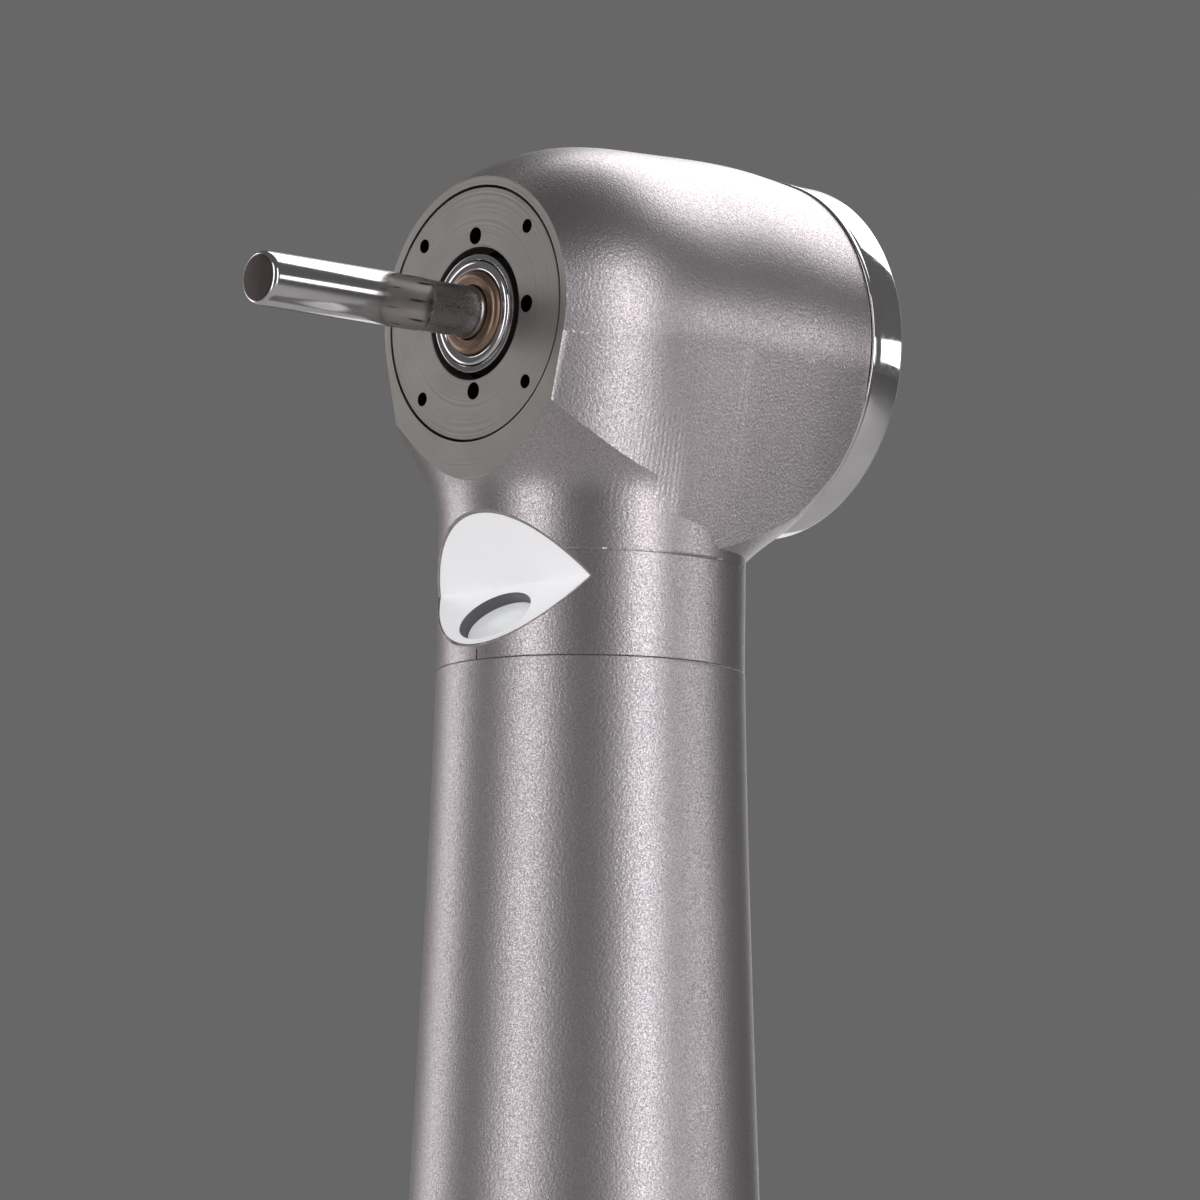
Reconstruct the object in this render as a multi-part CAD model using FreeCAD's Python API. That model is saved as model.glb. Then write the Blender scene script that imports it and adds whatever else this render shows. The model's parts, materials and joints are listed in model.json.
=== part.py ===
import FreeCAD, Part
import math
import os

# Dental high speed handpiece, in millimetres.
# +Z runs up the neck and the tool points along -Y. The origin is the centre of the tail's end face,
# where the hose screws on. Head pieces are drawn about the centre of the turbine: Y is the tool's
# axis there and Z the neck's. Tail pieces are drawn upright on the origin and then leaned by the bend.

# ---------------------------------------------------------------- overall
BEND_DEG = 20.0          # bend between the tail and the neck
TAIL_LENGTH = 88.0       # end face to the bend's corner
NECK_RISE = 38.0         # bend's corner to the turbine's centre
BEND_RADIUS = 60.0       # centre line's radius through the bend
PRESSED = 0.0            # gap of a pressed joint
SLIP = 0.02              # radial clearance of pieces that slide in each other
PLAY = 0.05              # clearance of parts that only drop into place

# ---------------------------------------------------------------- head shell
FACE_AT = -4.78          # flat front face
CAP_SEAM_AT = 6.34       # joint between barrel and back cap
FACE_RADIUS = 4.10
BARREL_RADIUS = 5.62     # fullest part of the barrel
BARREL_FULL_AT = 4.3
SEAM_RADIUS = BARREL_RADIUS - 0.22
SHOULDER = ((0.395, -3.75), (0.776, -2.2), (0.96, 0.7))   # part of the way from face to full, and place
SIDE_LEAN = (            # flat sides below the barrel: part of the way from face to seam, and their lean
    (0.0, 14.0),
    (0.215, 12.2),
    (0.317, 10.7),
    (0.385, 9.2),
    (0.471, 9.1),
    (0.565, 10.0),
    (0.651, 10.7),
    (0.817, 11.0),
    (1.0, 11.5),
)
SIDE_FOOT = -7.30        # foot of the flat sides
SEAT_RADIUS = 3.84       # recess of the spray disc
DISC_THICK = 0.90
DISC_EDGE = 0.05
WEB_THICK = 0.38         # wall between spray disc and front bearing
THREAD_RADIUS = SEAM_RADIUS - 0.45       # back cap's thread
CHAMBER_RADIUS = THREAD_RADIUS - 0.45
THREAD_START = 3.25

# ---------------------------------------------------------------- neck
SLEEVE_WALL = 0.66
SLEEVE_PROUD = 0.015     # sleeve's edge over the neck's
SPIGOT_PLAY = 0.035
NECK_RADIUS = 4.60
NECK_SEAM = -10.33       # joint with the handle sleeve, below the tool's axis
SPIGOT_RADIUS = NECK_RADIUS + SLEEVE_PROUD - SLEEVE_WALL - SPIGOT_PLAY
SPIGOT_LENGTH = 4.2
NECK_SEAL_WIRE = 0.21    # half thickness of the neck's o-ring
NECK_SEAL_HALF = 0.45    # half width of its groove
NECK_BORE = SPIGOT_RADIUS - 0.57
NECK_FLAT = -1.90        # flat of the neck's bore, which leaves room for the lamp
MANIFOLD_TOP = -10.95
MANIFOLD_TAIL = 2.0      # manifold below the spigot's end
# Flares from neck to barrel: radius over the neck's, and height.
FRONT_FLARE = ((0.0, -7.65), (-0.04, -6.2), (0.10, -5.2), (0.51, -4.35), (1.28, -3.03))
BACK_FLARE = ((0.0, -6.87), (0.54, -6.38), (1.52, -5.60), (2.06, -4.93), (2.50, -4.35), (3.13, -3.21), (3.70, -1.50))
INDEX_TICK = (0.08, 0.14, 0.34)          # start across, width, height
SPRAY_DRILL_END = (1.55, -3.05)          # where the water and chip air drillings meet the disc

# ---------------------------------------------------------------- turbine
SHAFT_RADIUS = 1.5875    # spindle, as the bearings' bore
NOSE_AT = -4.88
NOSE_ROUND = 0.16
SPINDLE_END = 5.60
RACE_RADIUS = 2 * SHAFT_RADIUS
BEARING_WIDTH = 2.38
BALL_PITCH = (SHAFT_RADIUS + RACE_RADIUS) / 2
BALL_RADIUS = 0.315 * (RACE_RADIUS - SHAFT_RADIUS)
BALLS = 8
BALL_PLAY = 0.012
RACE_GAP = 0.36          # ball circle to the lip of either ring
CAGE_HALF = (0.22, 0.72) # half thickness and half width of the cage
FRONT_BEARING_AT = -3.46
REAR_BEARING_AT = 3.12
SEAT_BORE = RACE_RADIUS + 0.275          # bore round the bearings, which float on their o-rings
ORING_GROOVE = SEAT_BORE + 0.40
ORING_GROOVE_WIDTH = 0.86
WASHER_THICK = 0.10
WASHER_SPAN = (-0.32, 0.18)              # inner and outer radius over the race's
VANES = 12
VANE_TIP = CHAMBER_RADIUS - 0.30
VANE_HUB = SHAFT_RADIUS + 0.96
VANE_SCOOP = (1.35, 0.62)                # radius of the hollow in a blade, and its offset
IMPELLER = (-0.92, 2.88)
CHUCK_RADIUS = SHAFT_RADIUS - 0.3375
CHUCK_REACH = 0.14       # chuck nose ahead of the spindle nose
CHUCK_END = 3.20
CHUCK_SLITS = 3
CHUCK_SLIT = 0.20
CHUCK_WHOLE = 1.6        # length of the nose that isn't slit
DUST_RING_RADIUS = SHAFT_RADIUS + 0.1825
DISC_BORE = DUST_RING_RADIUS + 0.215
WEB_BORE = DISC_BORE + 0.165

# ---------------------------------------------------------------- tool blank
TOOL_RADIUS = 0.80
TOOL_LENGTH = 16.0
TOOL_REACH = 8.27        # tip ahead of the front face
TOOL_EDGE = 0.18
TOOL_RELIEF = (6.05, 7.90)               # span of the ground waist, from the tip
TOOL_WAIST = (0.775, 0.765)              # its radius at the ends and in the middle

# ---------------------------------------------------------------- back cap and button
CAP_RADIUS = SEAM_RADIUS + 0.04
CAP_END = 7.62
CAP_LEDGE = (5.82, 6.20)
CAP_LEDGE_BORE = 2.30
CAP_MOUTH = CAP_RADIUS - 0.40
CAP_STEP = (6.56, CAP_MOUTH - 0.54)      # floor under the button's flange, and the bore below it
BUTTON_RADIUS = CAP_MOUTH - 0.34
STOP_RING = (7.32, 7.56)
BUTTON_FLANGE = (7.09, 7.30)
BUTTON_EDGE_AT = 8.30
BUTTON_TOP_AT = 8.72
BUTTON_EDGE_ROUND = 0.22
BUTTON_TRAVEL = 0.50
BUTTON_WALL = 0.42
BOSS_RADIUS = 1.50
PAD_END = 6.30
PAD_THICK = 0.60
OPENER_GAP = 0.20        # button pad to opener pin at rest
OPENER_STEM = 0.60
OPENER_HEAD = CHUCK_RADIUS - 0.17
OPENER_HEAD_SPAN = (3.70, 4.12)
PLUG_SPAN = (4.45, 5.45)
SPRING_WIRE = 0.16
SPRING_RADIUS = 3.10
SPRING_TURNS = 3

# ---------------------------------------------------------------- spray outlets
OUTLET_INNER = (DISC_BORE + 0.345, 0.26, 0.0)     # pitch radius, hole radius, first angle
OUTLET_OUTER = (SEAT_RADIUS - 0.565, 0.21, 45.0)
OUTLETS = 4
GALLERY = (DISC_BORE + 0.065, SEAT_RADIUS - 0.26, 0.45)      # ring channel behind the outlets

# ---------------------------------------------------------------- lamp in the neck
NOTCH_Y = -3.05
NOTCH_Z = -7.98
NOTCH_UP_DEG = 36.2      # lean of the upper face from the vertical
NOTCH_DOWN_DEG = 38.6    # lean of the lower face
NOTCH_REACH = 4.6
LIGHT_RIM = 0.14         # metal left round the white insert
LIGHT_FOOT = 0.20        # metal left below it
LIGHT_TOP = -5.15        # insert's upper end
LIGHT_WALL = 0.50
LIGHT_BLOCK = 1.30
LENS_ALONG = 1.22        # crease to the lens centre, down the lower face
LENS_HALF = (1.45, 0.95)
LENS_SUNK = 0.34
LENS_THICK = 0.45
BOARD_THICK = 0.25
BOARD_SUNK = 1.45
CHIP = (1.0, 0.9, 0.3)

# ---------------------------------------------------------------- handle
SLEEVE_SWELL = 3.10      # radius gained down to the fullest part
SWELL_LENGTH = 95.0      # neck seam to the fullest part
SWELL_POWER = 1.25
TAIL_RING = (5.0, 7.5)   # span of the collar at the tail, up from the end face
TAIL_RING_RADIUS = 7.55
TAIL_EDGE = 0.30
THREAD_TAIL_RADIUS = 5.55
RING_LAND = 0.35         # collar's seat over the thread
PLUG_TOP = 15.0
TAIL_SEAL = (0.60, 0.50) # depth and half width of the tail o-ring's groove
SLEEVE_END = TAIL_RING[1]
GRIP_GROOVES = 9
GRIP_FIRST = 46.0
GRIP_STEP = 2.4
GRIP_DEPTH = 0.16
GRIP_ROUND = 0.30

# ---------------------------------------------------------------- tubes, as offsets from the centre line
DRIVE_TUBE = (0.0, 1.45, 1.30, 1.05)     # across, back, outer radius, inner radius
WATER_TUBE = (-2.15, -0.75, 0.60, 0.40)
CHIP_TUBE = (2.15, -0.75, 0.60, 0.40)
LEADS = ((-0.35, -1.50, 0.20), (0.35, -1.50, 0.20))
TUBE_FOOT = 34.0

# ---------------------------------------------------------------- ports in the tail's end face
PORT_DEPTH = 6.0         # reach of the hose's tubes
PORT_STEP = 0.18         # each passage is narrower by this beyond them
DRIVE_PORT = (0.0, 2.55, 1.25)           # across, back, radius
EXHAUST_PORT = (0.0, -2.35, 1.60)
WATER_PORT = (-3.25, 0.35, 0.80)
CHIP_PORT = (3.25, 0.35, 0.80)
ELBOW_FOOT = 4.0
VALVE_LIP = 1.2
NOZZLE_WALL = 0.25
NOZZLE_FOOT = 3.0

# ---------------------------------------------------------------- lamp generator
GENERATOR_AT = (0.0, 2.70)
GENERATOR_SPAN = (16.5, 31.0)
GENERATOR_RADIUS = 3.30
GENERATOR_WALL = 0.30
GENERATOR_FLOOR = 0.80
VENT = (1.9, 0.42, 6)    # pitch radius, hole radius and number of the air holes
COIL_BORE = 1.75
COIL_SPAN = (5.2, 12.5)  # up from the generator's foot
MAGNET_RADIUS = 1.45
MAGNET_SPAN = (5.6, 12.1)
GENERATOR_SHAFT = 0.50
BUSH_RADIUS = 0.90
FAN_RADIUS = 2.60
FAN_HUB = (1.1, 1.3, 4.4)                # radius and span
FAN_BLADE = (0.3, 1.6, 4.0, 8)           # thickness, span and number

Vector = FreeCAD.Vector
ORIGIN = Vector(0, 0, 0)
X_AXIS = Vector(1, 0, 0)
Y_AXIS = Vector(0, 1, 0)
Z_AXIS = Vector(0, 0, 1)
FULL = 360.0
ROOM = 60.0              # size of the boxes that trim a shape

BEND = math.radians(BEND_DEG)
TAIL_WAY = Vector(0, -math.sin(BEND), math.cos(BEND))
TAIL_BACK = Vector(0, math.cos(BEND), math.sin(BEND))
BEND_TANGENT = BEND_RADIUS * math.tan(BEND / 2)
BEND_CORNER = TAIL_WAY * TAIL_LENGTH
BEND_TOP = BEND_CORNER + Z_AXIS * BEND_TANGENT
BEND_CENTRE = BEND_TOP + Y_AXIS * BEND_RADIUS
HEAD = BEND_CORNER + Z_AXIS * NECK_RISE
TOOL_TIP = FACE_AT - TOOL_REACH
DISC_BACK = FACE_AT + DISC_THICK
WEB_BACK = DISC_BACK + WEB_THICK
TUBE_TOP = NECK_SEAM - SPIGOT_LENGTH


# ---------------------------------------------------------------- shape helpers
def cylinder(radius, start, end, axis=Y_AXIS, across=(0.0, 0.0)):
    """Solid cylinder from start to end along Y or Z, moved sideways by across."""
    if axis is Y_AXIS:
        foot = Vector(across[0], start, across[1])
    else:
        foot = Vector(across[0], across[1], start)
    return Part.makeCylinder(radius, end - start, foot, axis)


def ring(outer, inner, start, end, axis=Y_AXIS, across=(0.0, 0.0)):
    """Cylinder with a bore through it."""
    return cylinder(outer, start, end, axis, across).cut(cylinder(inner, start, end, axis, across))


def turned(outline, axis=Y_AXIS, across=(0.0, 0.0)):
    """Solid turned from a closed outline of (radius, place) corners."""
    if axis is Y_AXIS:
        corners = [Vector(r, at, 0) for r, at in outline]
    else:
        corners = [Vector(r, 0, at) for r, at in outline]
    wire = Part.makePolygon(corners + corners[:1])
    solid = Part.Face(wire).revolve(ORIGIN, axis, FULL)
    solid.translate(Vector(across[0], across[1], 0))
    return solid


def turned_curve(curve, axis=Y_AXIS):
    """Solid turned from a smooth outer curve of (radius, place) points, closed on the axis."""
    if axis is Y_AXIS:
        points = [Vector(r, at, 0) for r, at in curve]
        feet = [Vector(0, curve[-1][1], 0), Vector(0, curve[0][1], 0)]
    else:
        points = [Vector(r, 0, at) for r, at in curve]
        feet = [Vector(0, 0, curve[-1][1]), Vector(0, 0, curve[0][1])]
    spline = Part.BSplineCurve()
    spline.interpolate(points)
    edges = [
        spline.toShape(),
        Part.makeLine(points[-1], feet[0]),
        Part.makeLine(feet[0], feet[1]),
        Part.makeLine(feet[1], points[0]),
    ]
    return Part.Face(Part.Wire(edges)).revolve(ORIGIN, axis, FULL)


def rod(start, end, radius):
    """Round bar between two points."""
    way = end - start
    return Part.makeCylinder(radius, way.Length, start, way)


def spun_copies(shape, count, axis, centre=ORIGIN):
    """Copies of a shape spread evenly round an axis."""
    copies = []
    for index in range(count):
        copy = shape.copy()
        copy.rotate(centre, axis, index * FULL / count)
        copies.append(copy)
    return copies


def joined(shapes):
    """One solid from shapes that overlap or touch."""
    return shapes[0].multiFuse(shapes[1:]).removeSplitter()


def in_head(shape):
    """Moves a piece drawn about the turbine's centre to its place."""
    shape.translate(HEAD)
    return shape


def in_tail(shape):
    """Leans a piece drawn upright on the origin along the tail."""
    shape.rotate(ORIGIN, X_AXIS, BEND_DEG)
    return shape


def tail_point(across, back, up):
    """Place in the tail from its offsets and its distance up from the end face."""
    return X_AXIS * across + TAIL_BACK * back + TAIL_WAY * up


def bent_bar(offset, foot, top):
    """Round bar along the handle: straight up the tail, round the bend, then up the neck."""
    across, back, radius = offset[:3]
    foot_at = tail_point(across, back, foot)
    low = BEND_CENTRE + X_AXIS * across - TAIL_BACK * (BEND_RADIUS - back)
    high = BEND_CENTRE + X_AXIS * across - Y_AXIS * (BEND_RADIUS - back)
    disc = Part.Face(Part.Wire(Part.makeCircle(radius, high, Z_AXIS)))
    bend = disc.revolve(BEND_CENTRE, X_AXIS, BEND_DEG)
    upper = disc.extrude(Z_AXIS * (HEAD.z + top - high.z))
    lower = rod(foot_at, low, radius)
    return joined([lower, bend, upper])


def bent_tube(offset, foot, top):
    """Tube along the handle."""
    outer = bent_bar(offset, foot, top)
    inner = bent_bar((offset[0], offset[1], offset[3]), foot, top)
    return outer.cut(inner)


def ahead_of(place):
    """Box that trims everything in front of a place along Y."""
    return Part.makeBox(ROOM, ROOM, ROOM, Vector(-ROOM / 2, place - ROOM, -ROOM / 2))


def behind(place):
    """Box that trims everything behind a place along Y."""
    return Part.makeBox(ROOM, ROOM, ROOM, Vector(-ROOM / 2, place, -ROOM / 2))


# ---------------------------------------------------------------- head housing
def barrel_outline():
    """Smooth outline of the barrel from the front face to the cap's seam."""
    rise = BARREL_RADIUS - FACE_RADIUS
    shoulder = [(FACE_RADIUS + part * rise, place) for part, place in SHOULDER]
    return ((FACE_RADIUS, FACE_AT), *shoulder, (BARREL_RADIUS, BARREL_FULL_AT), (SEAM_RADIUS, CAP_SEAM_AT))


def barrel_radius_at(place):
    """Barrel's radius at a place along its axis, read from the outline's curve."""
    spline = Part.BSplineCurve()
    spline.interpolate([Vector(r, at, 0) for r, at in barrel_outline()])
    across = Part.makeLine(Vector(0, place, 0), Vector(3 * BARREL_RADIUS, place, 0))
    hit = spline.toShape().distToShape(across)
    return hit[1][0][0].x


def underside():
    """Flat leaning sides below the barrel, which run down into the neck."""
    sections = []
    for part, lean in SIDE_LEAN:
        place = FACE_AT + part * (CAP_SEAM_AT - FACE_AT)
        radius = barrel_radius_at(place)
        sine = math.sin(math.radians(lean))
        cosine = math.cos(math.radians(lean))
        half = (radius + SIDE_FOOT * sine) / cosine
        top = radius * cosine
        corners = [(top, -radius * sine), (half, SIDE_FOOT), (-half, SIDE_FOOT), (-top, -radius * sine)]
        points = [Vector(across, place, height) for across, height in corners]
        sections.append(Part.makePolygon(points + points[:1]))
    return Part.makeLoft(sections, True, True)


def neck_flare():
    """Turned shape that bounds the underside: a wide front flare and a lower one behind."""
    halves = []
    for flare, trim in ((FRONT_FLARE, ahead_of(0.0)), (BACK_FLARE, behind(0.0))):
        curve = [(NECK_RADIUS + over, height) for over, height in flare]
        roof = cylinder(curve[-1][0], curve[-1][1], 0.0, Z_AXIS)
        halves.append(turned_curve(curve, Z_AXIS).fuse(roof).common(trim))
    return halves[0].fuse(halves[1])


def notch():
    """Wedge cut from the tool side of the neck."""
    up = math.radians(NOTCH_UP_DEG)
    down = math.radians(NOTCH_DOWN_DEG)
    corners = [
        Vector(-BARREL_RADIUS, NOTCH_Y, NOTCH_Z),
        Vector(-BARREL_RADIUS, NOTCH_Y - NOTCH_REACH * math.sin(up), NOTCH_Z + NOTCH_REACH * math.cos(up)),
        Vector(-BARREL_RADIUS, NOTCH_Y - NOTCH_REACH * math.sin(down), NOTCH_Z - NOTCH_REACH * math.cos(down)),
    ]
    face = Part.Face(Part.makePolygon(corners + corners[:1]))
    return face.extrude(X_AXIS * 2 * BARREL_RADIUS)


def on_lower_face(shape, along):
    """Puts a shape drawn about the origin, facing +Z, on the notch's lower face."""
    shape.rotate(ORIGIN, X_AXIS, FULL / 4 - NOTCH_DOWN_DEG)
    down = math.radians(NOTCH_DOWN_DEG)
    shape.translate(Vector(0, NOTCH_Y - along * math.sin(down), NOTCH_Z - along * math.cos(down)))
    return shape


def oval(half_wide, half_tall, low, high):
    """Oval plate between two heights above the lower face."""
    curve = Part.Ellipse(Vector(0, 0, low), half_wide, half_tall)
    return Part.Face(Part.Wire(curve.toShape())).extrude(Z_AXIS * (high - low))


def light_envelope():
    """Room of the white insert: a plate behind the upper face and a block behind the lower one."""
    width = 2 * BARREL_RADIUS
    plate = Part.makeBox(width, LIGHT_WALL, NOTCH_REACH + LIGHT_WALL, Vector(-width / 2, 0, -LIGHT_WALL))
    plate.rotate(ORIGIN, X_AXIS, NOTCH_UP_DEG)
    plate.translate(Vector(0, NOTCH_Y, NOTCH_Z))
    block = Part.makeBox(width, NOTCH_REACH + LIGHT_WALL, LIGHT_BLOCK, Vector(-width / 2, -NOTCH_REACH, -LIGHT_BLOCK))
    block = on_lower_face(block, 0.0)
    shell = cylinder(NECK_RADIUS - LIGHT_RIM, NECK_SEAM + LIGHT_FOOT, LIGHT_TOP, Z_AXIS)
    return joined([plate, block]).common(shell)


def board_pocket():
    """Room of the lamp board below the insert."""
    return on_lower_face(oval(LENS_HALF[0] + PLAY, LENS_HALF[1] + PLAY, -BOARD_SUNK - BOARD_THICK, 0.0), LENS_ALONG)


def bored_profile():
    """Everything turned out of the barrel for the disc, the bearings, the impeller and the cap."""
    groove_at = FRONT_BEARING_AT + BEARING_WIDTH / 2
    half = ORING_GROOVE_WIDTH / 2
    chamber_at = FRONT_BEARING_AT + BEARING_WIDTH
    cuts = [
        cylinder(SEAT_RADIUS, FACE_AT - 1, DISC_BACK),
        cylinder(WEB_BORE, DISC_BACK, WEB_BACK),
        cylinder(SEAT_BORE, WEB_BACK, chamber_at),
        cylinder(ORING_GROOVE, groove_at - half, groove_at + half),
        cylinder(CHAMBER_RADIUS, chamber_at, THREAD_START),
        cylinder(THREAD_RADIUS, THREAD_START, CAP_SEAM_AT + 1),
    ]
    return joined(cuts)


def neck_channels():
    """Drillings from the manifold to the turbine, to the spray ring and to the lamp."""
    drive_up = Vector(DRIVE_TUBE[0], DRIVE_TUBE[1], MANIFOLD_TOP - 0.1)
    cuts = [rod(drive_up, Vector(DRIVE_TUBE[0], DRIVE_TUBE[1], 1 - CHAMBER_RADIUS), DRIVE_TUBE[3])]
    for offset in (WATER_TUBE, CHIP_TUBE):
        start = Vector(offset[0], offset[1], MANIFOLD_TOP - 0.1)
        end = Vector(math.copysign(SPRAY_DRILL_END[0], offset[0]), DISC_BACK - PLAY, SPRAY_DRILL_END[1])
        cuts.append(rod(start, end, offset[3]))
    for offset in LEADS:
        start = Vector(offset[0], offset[1], MANIFOLD_TOP - 0.1)
        cuts.append(rod(start, start + Z_AXIS * 1.0, offset[2] + PLAY))
    return cuts


def head_housing():
    """Barrel and neck in one piece."""
    solids = [
        turned_curve(barrel_outline()),
        underside().common(neck_flare()),
        cylinder(NECK_RADIUS, NECK_SEAM, -FACE_RADIUS, Z_AXIS),
        cylinder(SPIGOT_RADIUS, NECK_SEAM - SPIGOT_LENGTH, NECK_SEAM, Z_AXIS),
    ]
    body = joined(solids)
    start, width, height = INDEX_TICK
    tick = Part.makeBox(width, 2 * width, height, Vector(start, -NECK_RADIUS - width, NECK_SEAM))
    cuts = [bored_profile(), ahead_of(FACE_AT), notch(), light_envelope(), board_pocket(), manifold_room()]
    cuts += [neck_seal_groove(), tick, *neck_channels()]
    for cut in cuts:
        body = body.cut(cut)
    return body


def neck_seal_groove():
    """Groove round the spigot for its o-ring."""
    middle = NECK_SEAM - SPIGOT_LENGTH / 2
    floor = SPIGOT_RADIUS - 2 * NECK_SEAL_WIRE
    return ring(NECK_RADIUS, floor, middle - NECK_SEAL_HALF, middle + NECK_SEAL_HALF, Z_AXIS)


def manifold_room():
    """D shaped bore up the neck for the manifold."""
    bore = cylinder(NECK_BORE, NECK_SEAM - SPIGOT_LENGTH - MANIFOLD_TAIL, MANIFOLD_TOP, Z_AXIS)
    return bore.common(behind(NECK_FLAT))


# ---------------------------------------------------------------- pieces fixed in the head
def spray_disc():
    """Front insert with its eight outlets and the ring channel behind them."""
    outline = (
        (DISC_BORE, FACE_AT),
        (SEAT_RADIUS - DISC_EDGE - PLAY, FACE_AT),
        (SEAT_RADIUS - PLAY, FACE_AT + DISC_EDGE),
        (SEAT_RADIUS - PLAY, DISC_BACK),
        (DISC_BORE, DISC_BACK),
    )
    disc = turned(outline)
    inner, outer, depth = GALLERY
    disc = disc.cut(ring(outer, inner, DISC_BACK - depth, DISC_BACK))
    for pitch, radius, first in (OUTLET_INNER, OUTLET_OUTER):
        hole = cylinder(radius, FACE_AT - DISC_THICK, DISC_BACK - depth / 2, Y_AXIS, (pitch, 0.0))
        hole.rotate(ORIGIN, Y_AXIS, first)
        for copy in spun_copies(hole, OUTLETS, Y_AXIS):
            disc = disc.cut(copy)
    return disc


def bearing(at):
    """Outer ring, inner ring, cage and balls of one bearing that starts at a place."""
    middle = at + BEARING_WIDTH / 2
    end = at + BEARING_WIDTH
    track = Part.makeTorus(BALL_PITCH, BALL_RADIUS + BALL_PLAY, Vector(0, middle, 0), Y_AXIS)
    outer_ring = ring(RACE_RADIUS, BALL_PITCH + RACE_GAP, at, end).cut(track)
    inner_ring = ring(BALL_PITCH - RACE_GAP, SHAFT_RADIUS, at, end).cut(track)
    thick, width = CAGE_HALF
    cage = ring(BALL_PITCH + thick, BALL_PITCH - thick, middle - width, middle + width)
    ball = Part.makeSphere(BALL_RADIUS, Vector(BALL_PITCH, middle, 0))
    inside = Vector(BALL_PITCH - 2 * thick, middle, 0)
    pocket = rod(inside, inside + X_AXIS * 4 * thick, BALL_RADIUS + PLAY)
    for copy in spun_copies(pocket, BALLS, Y_AXIS):
        cage = cage.cut(copy)
    balls = Part.makeCompound(spun_copies(ball, BALLS, Y_AXIS))
    return outer_ring, inner_ring, cage, balls


def oring(at):
    """O-ring that carries a bearing's outer ring."""
    thick = ORING_GROOVE - RACE_RADIUS - SLIP
    return Part.makeTorus(RACE_RADIUS + SLIP / 2 + thick / 2, thick / 2, Vector(0, at, 0), Y_AXIS)


def back_cap():
    """Screw cap with the rear bearing's seat, the ledge under the button and the polished band."""
    outline = (
        (SEAT_BORE, THREAD_START + 0.03),
        (THREAD_RADIUS - PRESSED, THREAD_START + 0.03),
        (THREAD_RADIUS - PRESSED, CAP_SEAM_AT),
        (CAP_RADIUS - 0.04, CAP_SEAM_AT),
        (CAP_RADIUS + 0.03, CAP_SEAM_AT + 0.08),
        (CAP_RADIUS + 0.03, CAP_SEAM_AT + 0.16),
        (CAP_RADIUS - 0.06, CAP_SEAM_AT + 0.26),
        (CAP_RADIUS, CAP_SEAM_AT + 0.42),
        (CAP_RADIUS - 0.02, CAP_END - 0.16),
        (CAP_RADIUS - 0.14, CAP_END),
        (CAP_MOUTH, CAP_END),
        (CAP_MOUTH, CAP_STEP[0]),
        (CAP_STEP[1], CAP_STEP[0]),
        (CAP_STEP[1], CAP_LEDGE[1]),
        (CAP_LEDGE_BORE, CAP_LEDGE[1]),
        (CAP_LEDGE_BORE, CAP_LEDGE[0]),
        (SEAT_BORE, CAP_LEDGE[0]),
    )
    groove_at = REAR_BEARING_AT + BEARING_WIDTH / 2
    half = ORING_GROOVE_WIDTH / 2
    return turned(outline).cut(cylinder(ORING_GROOVE, groove_at - half, groove_at + half))


def preload_washer():
    """Cone spring between the rear bearing and the cap's ledge."""
    low = REAR_BEARING_AT + BEARING_WIDTH
    high = CAP_LEDGE[0]
    inner = RACE_RADIUS + WASHER_SPAN[0]
    outer = RACE_RADIUS + WASHER_SPAN[1]
    outline = (
        (inner, low),
        (inner + WASHER_THICK, low),
        (outer, high - WASHER_THICK),
        (outer, high),
        (outer - WASHER_THICK, high),
        (inner, low + WASHER_THICK),
    )
    return turned(outline)


def light_carrier():
    """White insert that lines the notch and holds the lens."""
    opening = on_lower_face(oval(*LENS_HALF, -LIGHT_BLOCK - 1, 1.0), LENS_ALONG)
    return light_envelope().cut(notch()).cut(opening)


def led_lens():
    """Oval window below the surface of the lower face."""
    half_wide = LENS_HALF[0]
    half_tall = LENS_HALF[1]
    return on_lower_face(oval(half_wide, half_tall, -LENS_SUNK - LENS_THICK, -LENS_SUNK), LENS_ALONG)


def led_board():
    """Small board with the light chip on it."""
    board = oval(LENS_HALF[0], LENS_HALF[1], -BOARD_SUNK - BOARD_THICK, -BOARD_SUNK)
    chip = Part.makeBox(*CHIP, Vector(-CHIP[0] / 2, -CHIP[1] / 2, -BOARD_SUNK))
    return on_lower_face(joined([board, chip]), LENS_ALONG)


def neck_manifold():
    """Plug in the neck that joins the tubes to the drillings."""
    foot = TUBE_TOP - MANIFOLD_TAIL
    plug = cylinder(NECK_BORE, foot, MANIFOLD_TOP, Z_AXIS).common(behind(NECK_FLAT))
    for offset in (DRIVE_TUBE, WATER_TUBE, CHIP_TUBE):
        across = (offset[0], offset[1])
        plug = plug.cut(cylinder(offset[3], foot - 1, MANIFOLD_TOP + 1, Z_AXIS, across))
        plug = plug.cut(cylinder(offset[2], foot - 1, TUBE_TOP, Z_AXIS, across))
    for offset in LEADS:
        across = (offset[0], offset[1])
        plug = plug.cut(cylinder(offset[2] + SLIP, foot - 1, MANIFOLD_TOP + 1, Z_AXIS, across))
    return plug


def neck_oring():
    """Seal between the neck's spigot and the sleeve."""
    middle = Vector(0, 0, NECK_SEAM - SPIGOT_LENGTH / 2)
    return Part.makeTorus(SPIGOT_RADIUS - NECK_SEAL_WIRE, NECK_SEAL_WIRE, middle, Z_AXIS)


# ---------------------------------------------------------------- turbine
def spindle():
    """Hollow shaft with a rounded nose."""
    nose = NOSE_ROUND
    bore = CHUCK_RADIUS
    outline = (
        (bore, NOSE_AT + nose / 2),
        (bore + 0.08, NOSE_AT),
        (SHAFT_RADIUS - nose, NOSE_AT),
        (SHAFT_RADIUS - nose * 0.3, NOSE_AT + nose * 0.3),
        (SHAFT_RADIUS, NOSE_AT + nose),
        (SHAFT_RADIUS, SPINDLE_END),
        (bore, SPINDLE_END),
    )
    return turned(outline)


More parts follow.
